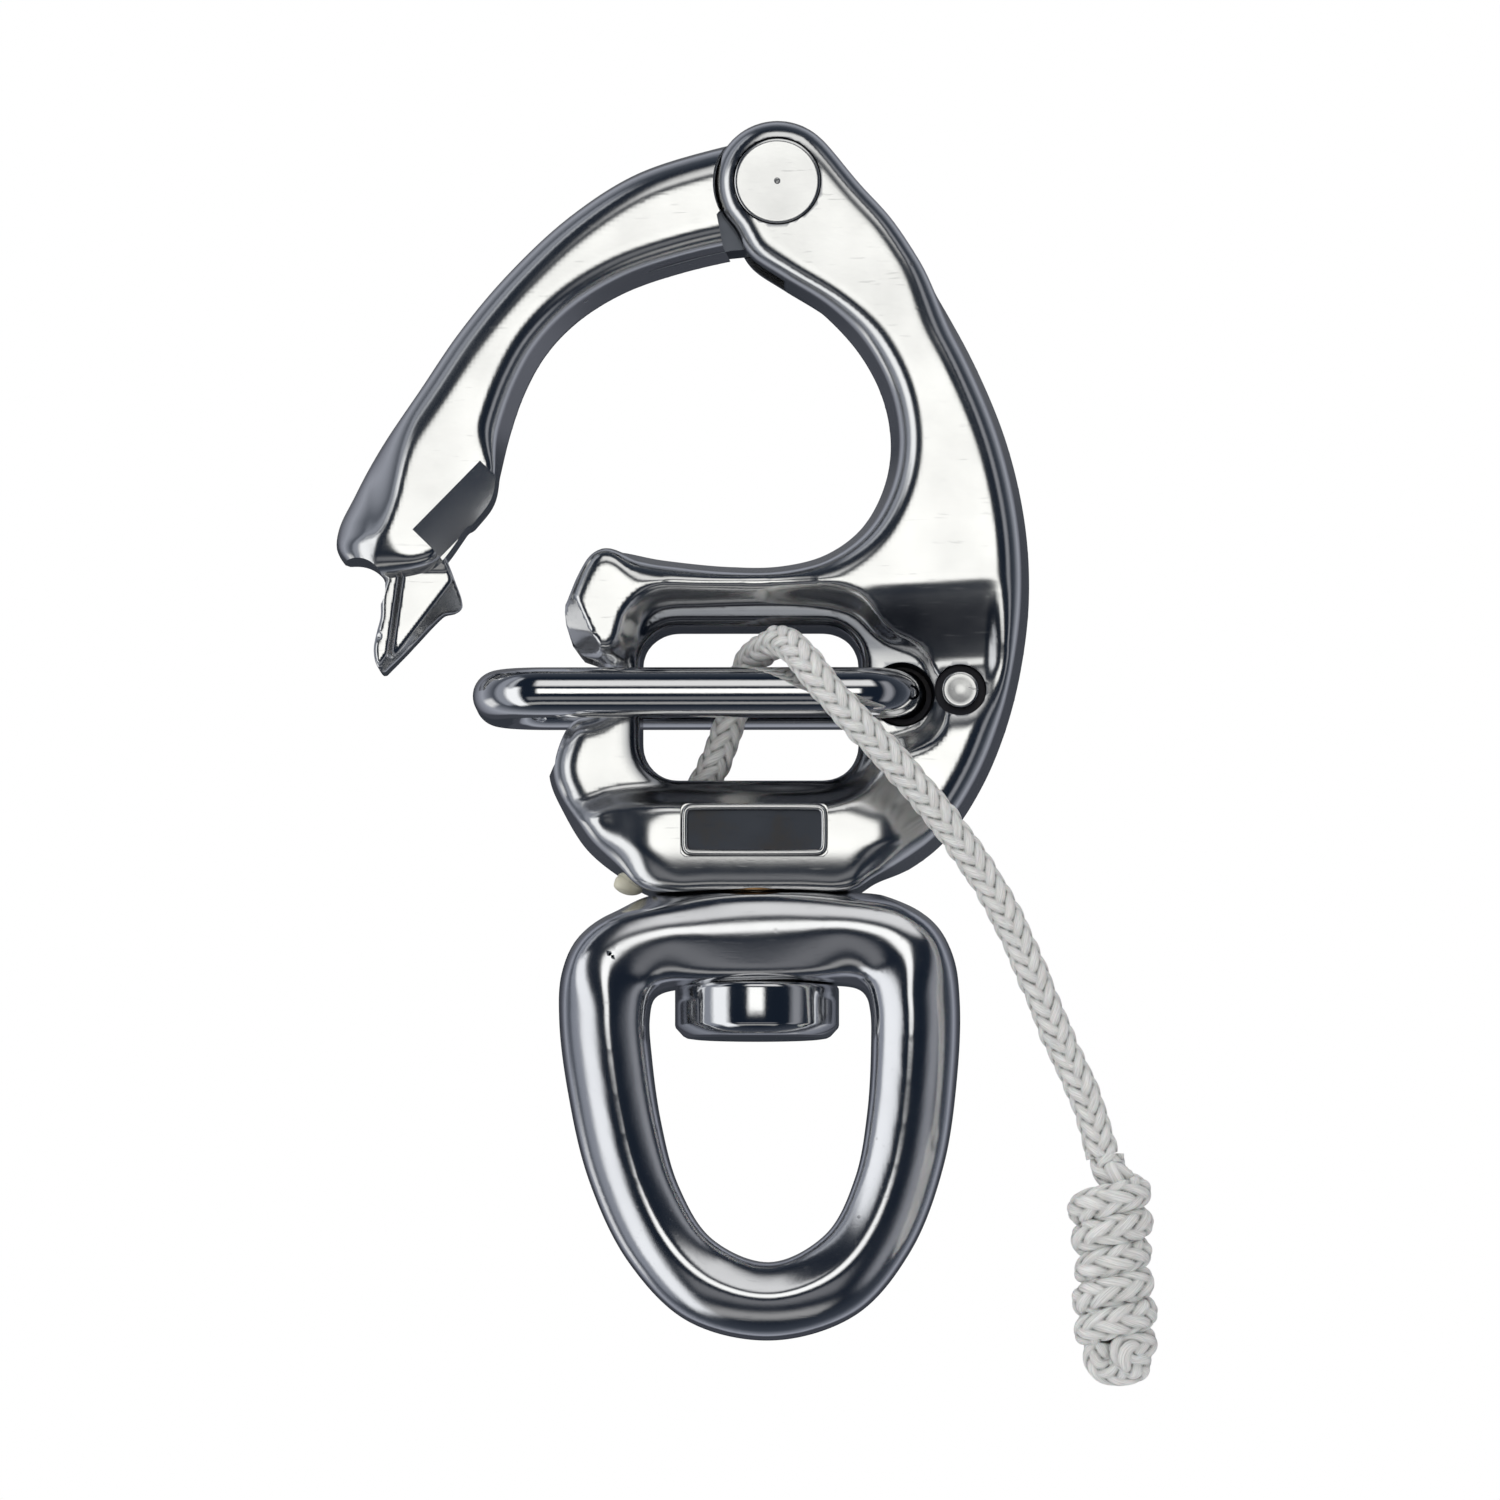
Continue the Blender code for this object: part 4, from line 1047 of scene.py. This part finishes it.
EYE_OUTER = mirrored(
    [(4.0, 27.0), (7.6, 26.8), (11.0, 26.0), (13.3, 24.3), (14.5, 21.8), (14.8, 18.5), (14.4, 13.3)]
    + [(13.1, 6.6), (10.4, 0.4), (6.2, -4.1), (0.0, -5.75)]
)
EYE_INNER = mirrored(
    [(3.2, 20.8), (6.4, 20.75), (7.7, 20.0), (8.15, 18.4), (8.1, 15.5), (7.6, 10.6), (6.5, 5.9)]
    + [(4.2, 1.9), (0.0, 0.0)]
)
EYE_LOW, EYE_HIGH = (-17.0, -7.5), (17.0, 28.5)
EYE_RIM = Field(spline(EYE_OUTER, 0.4), EYE_LOW, EYE_HIGH)
EYE_HOLE = Field(spline(EYE_INNER, 0.4), EYE_LOW, EYE_HIGH)
EYE_HALF = 6.35
EYE_POWER = 2.8
CREST = 0.56


def bevels(run, width, ay, level, steps):
    """Flats that fall away from a crest, each steeper than the last; steps are (start as a share, slope)."""
    solid, last, slope = None, 0.0, 0.0
    for start, steeper in steps:
        level = level - slope * (start - last) * width
        flat = (ay - level + steeper * (run - start * width)) / math.hypot(1, steeper)
        solid = flat if solid is None else meet(solid, flat, 0.7)
        last, slope = start, steeper
    return solid


def eye_shape(x, y, z):
    """Each limb's section has a crest with bevels on both sides of it, a round outer edge and a short inner wall."""
    a = math.radians(-EYE_TILT_DEG)
    zz = z - EYE_TILT_CENTRE
    u, w = x * math.cos(a) - zz * math.sin(a), x * math.sin(a) + zz * math.cos(a) + EYE_TILT_CENTRE
    outer, inner = -EYE_RIM(u, w), EYE_HOLE(u, w)
    width = np.maximum(outer + inner, 1.0)
    half = EYE_HALF * (1.0 - 0.26 * smooth(21.0 - w, 0.0, 20.0))
    share = outer / width
    top = smooth(w, 18.5, 23.5)
    crest = CREST - 0.22 * top
    p = np.where(share < crest, (crest - share) / crest, (share - crest) / (1 - crest) * 0.93)
    q = np.abs(y) / half
    size = (np.abs(p) ** EYE_POWER + q**EYE_POWER) ** (1 / EYE_POWER)
    section = (size - 1.0) * np.minimum(half, width * 0.5)
    ay = np.abs(y)
    away = (crest - share) * width
    section = meet(section, bevels(away, width, ay, half, ((0.0, 0.2), (0.16, 0.52), (0.34, 0.8))), 0.5)
    section = meet(section, bevels(-away, width, ay, half, ((0.0, 0.17), (0.03 + 0.33 * top, 0.58))), 0.25)
    solid = meet(section, -inner, 0.25)
    radius = np.hypot(0.62 * x, y)
    boss = meet(radius - 5.3, np.maximum(z - 26.9, 20.85 - z), 0.8)
    return np.maximum(merge(solid, boss, 1.8), z - 27.1)


def make_eye():
    points, quads = surface(eye_shape, (-16.6, -7.6, -6.6), (16.6, 7.6, 27.6), 0.36)
    eye = outward(mesh_object("forged_eye", points, quads))
    apply_booleans(eye, [("DIFFERENCE", bar((0, 0, 17), (0, 0, 30), 4.1, 96))], EYE_STEEL)
    dress(eye, EYE_STEEL, "swivel_eye")
    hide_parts("swivel_eye")


make_eye()


# ---------------------------------------------------------------- small pieces


def make_rope_end():
    """The melted end of the cord: a small lumpy bead."""
    shape = bmesh.new()
    bmesh.ops.create_icosphere(shape, subdivisions=4, radius=1.0)
    for vert in shape.verts:
        n = vert.co.copy()
        lump = 1 + 0.05 * math.sin(3 * n.x + 1.3) * math.cos(3 * n.y + 0.4) + 0.02 * math.sin(7 * n.z + 3 * n.x)
        vert.co = Vector((n.x * 1.3 * lump - 9.35, n.y * 1.3 * lump, n.z * 0.85 * lump + 28.0)) * MM
    obj = bmesh_object("sealed_end", shape)
    look, t, shader = new_look("sealed_braid")
    place = t.add("ShaderNodeTexCoord").outputs["Object"]
    cloud = t.noise(place, 900.0, 3.0, 0.6)
    t.put(shader.inputs["Base Color"], t.mix(cloud, (0.86, 0.84, 0.72), (0.62, 0.58, 0.42)))
    t.put(shader.inputs["Roughness"], t.math("MULTIPLY_ADD", cloud, 0.3, 0.3))
    bump = t.add("ShaderNodeBump", {"Height": cloud, "Strength": 0.6, "Distance": 0.0001})
    t.put(shader.inputs["Normal"], bump.outputs[0])
    dress(obj, look, "shackle_body", 180)
    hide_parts("lanyard_end")


def make_washer():
    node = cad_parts["thrust_washer"]
    look, t, shader = new_look("washer_bronze")
    shader.inputs["Metallic"].default_value = 1.0
    place = t.add("ShaderNodeTexCoord").outputs["Object"]
    cloud = t.noise(place, 500.0, 3.0, 0.6)
    t.put(shader.inputs["Base Color"], t.mix(cloud, (0.6, 0.36, 0.17), (0.3, 0.17, 0.08)))
    t.put(shader.inputs["Roughness"], t.math("MULTIPLY_ADD", cloud, 0.3, 0.25))
    for slot in node.material_slots:
        slot.material = look


def make_plate():
    """A blank name plate: a raised border round a darker floor."""
    floor_y = PLATE_DEPTH - PAD_HALF
    loop = spline(rounded_box(-5.25, 4.95, 29.95, 33.25, 0.45, 5), 0.25)
    border = sweep("plate_border", [(x, 0.3 - PAD_HALF, z) for x, z in loop], 0.27, 16, (0, 1, 0))
    dress(border, FORGED, "shackle_body", 60)
    floor = prism(rounded_box(-5.2, 4.9, 30.0, 33.2, 0.4, 5), floor_y - 0.04, floor_y + 0.2, "plate_floor")
    dress(floor, PLATE_STEEL, "shackle_body", 60)


make_rope_end()
make_washer()
make_plate()
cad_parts["return_spring"].material_slots[0].material = STUD_STEEL


# ---------------------------------------------------------------- floor


# In metres.
FLOOR_HALF_WIDTH, FLOOR_LEVEL = 1.5, -0.12


def make_floor():
    shape = bmesh.new()
    bmesh.ops.create_grid(shape, x_segments=1, y_segments=1, size=FLOOR_HALF_WIDTH)
    floor = bmesh_object("floor", shape)
    floor.location.z = FLOOR_LEVEL
    look, _, shader = new_look("pale_floor")
    shader.inputs["Base Color"].default_value = (0.86, 0.86, 0.86, 1)
    shader.inputs["Roughness"].default_value = 0.9
    floor.data.materials.append(look)
    floor.visible_glossy = False


make_floor()
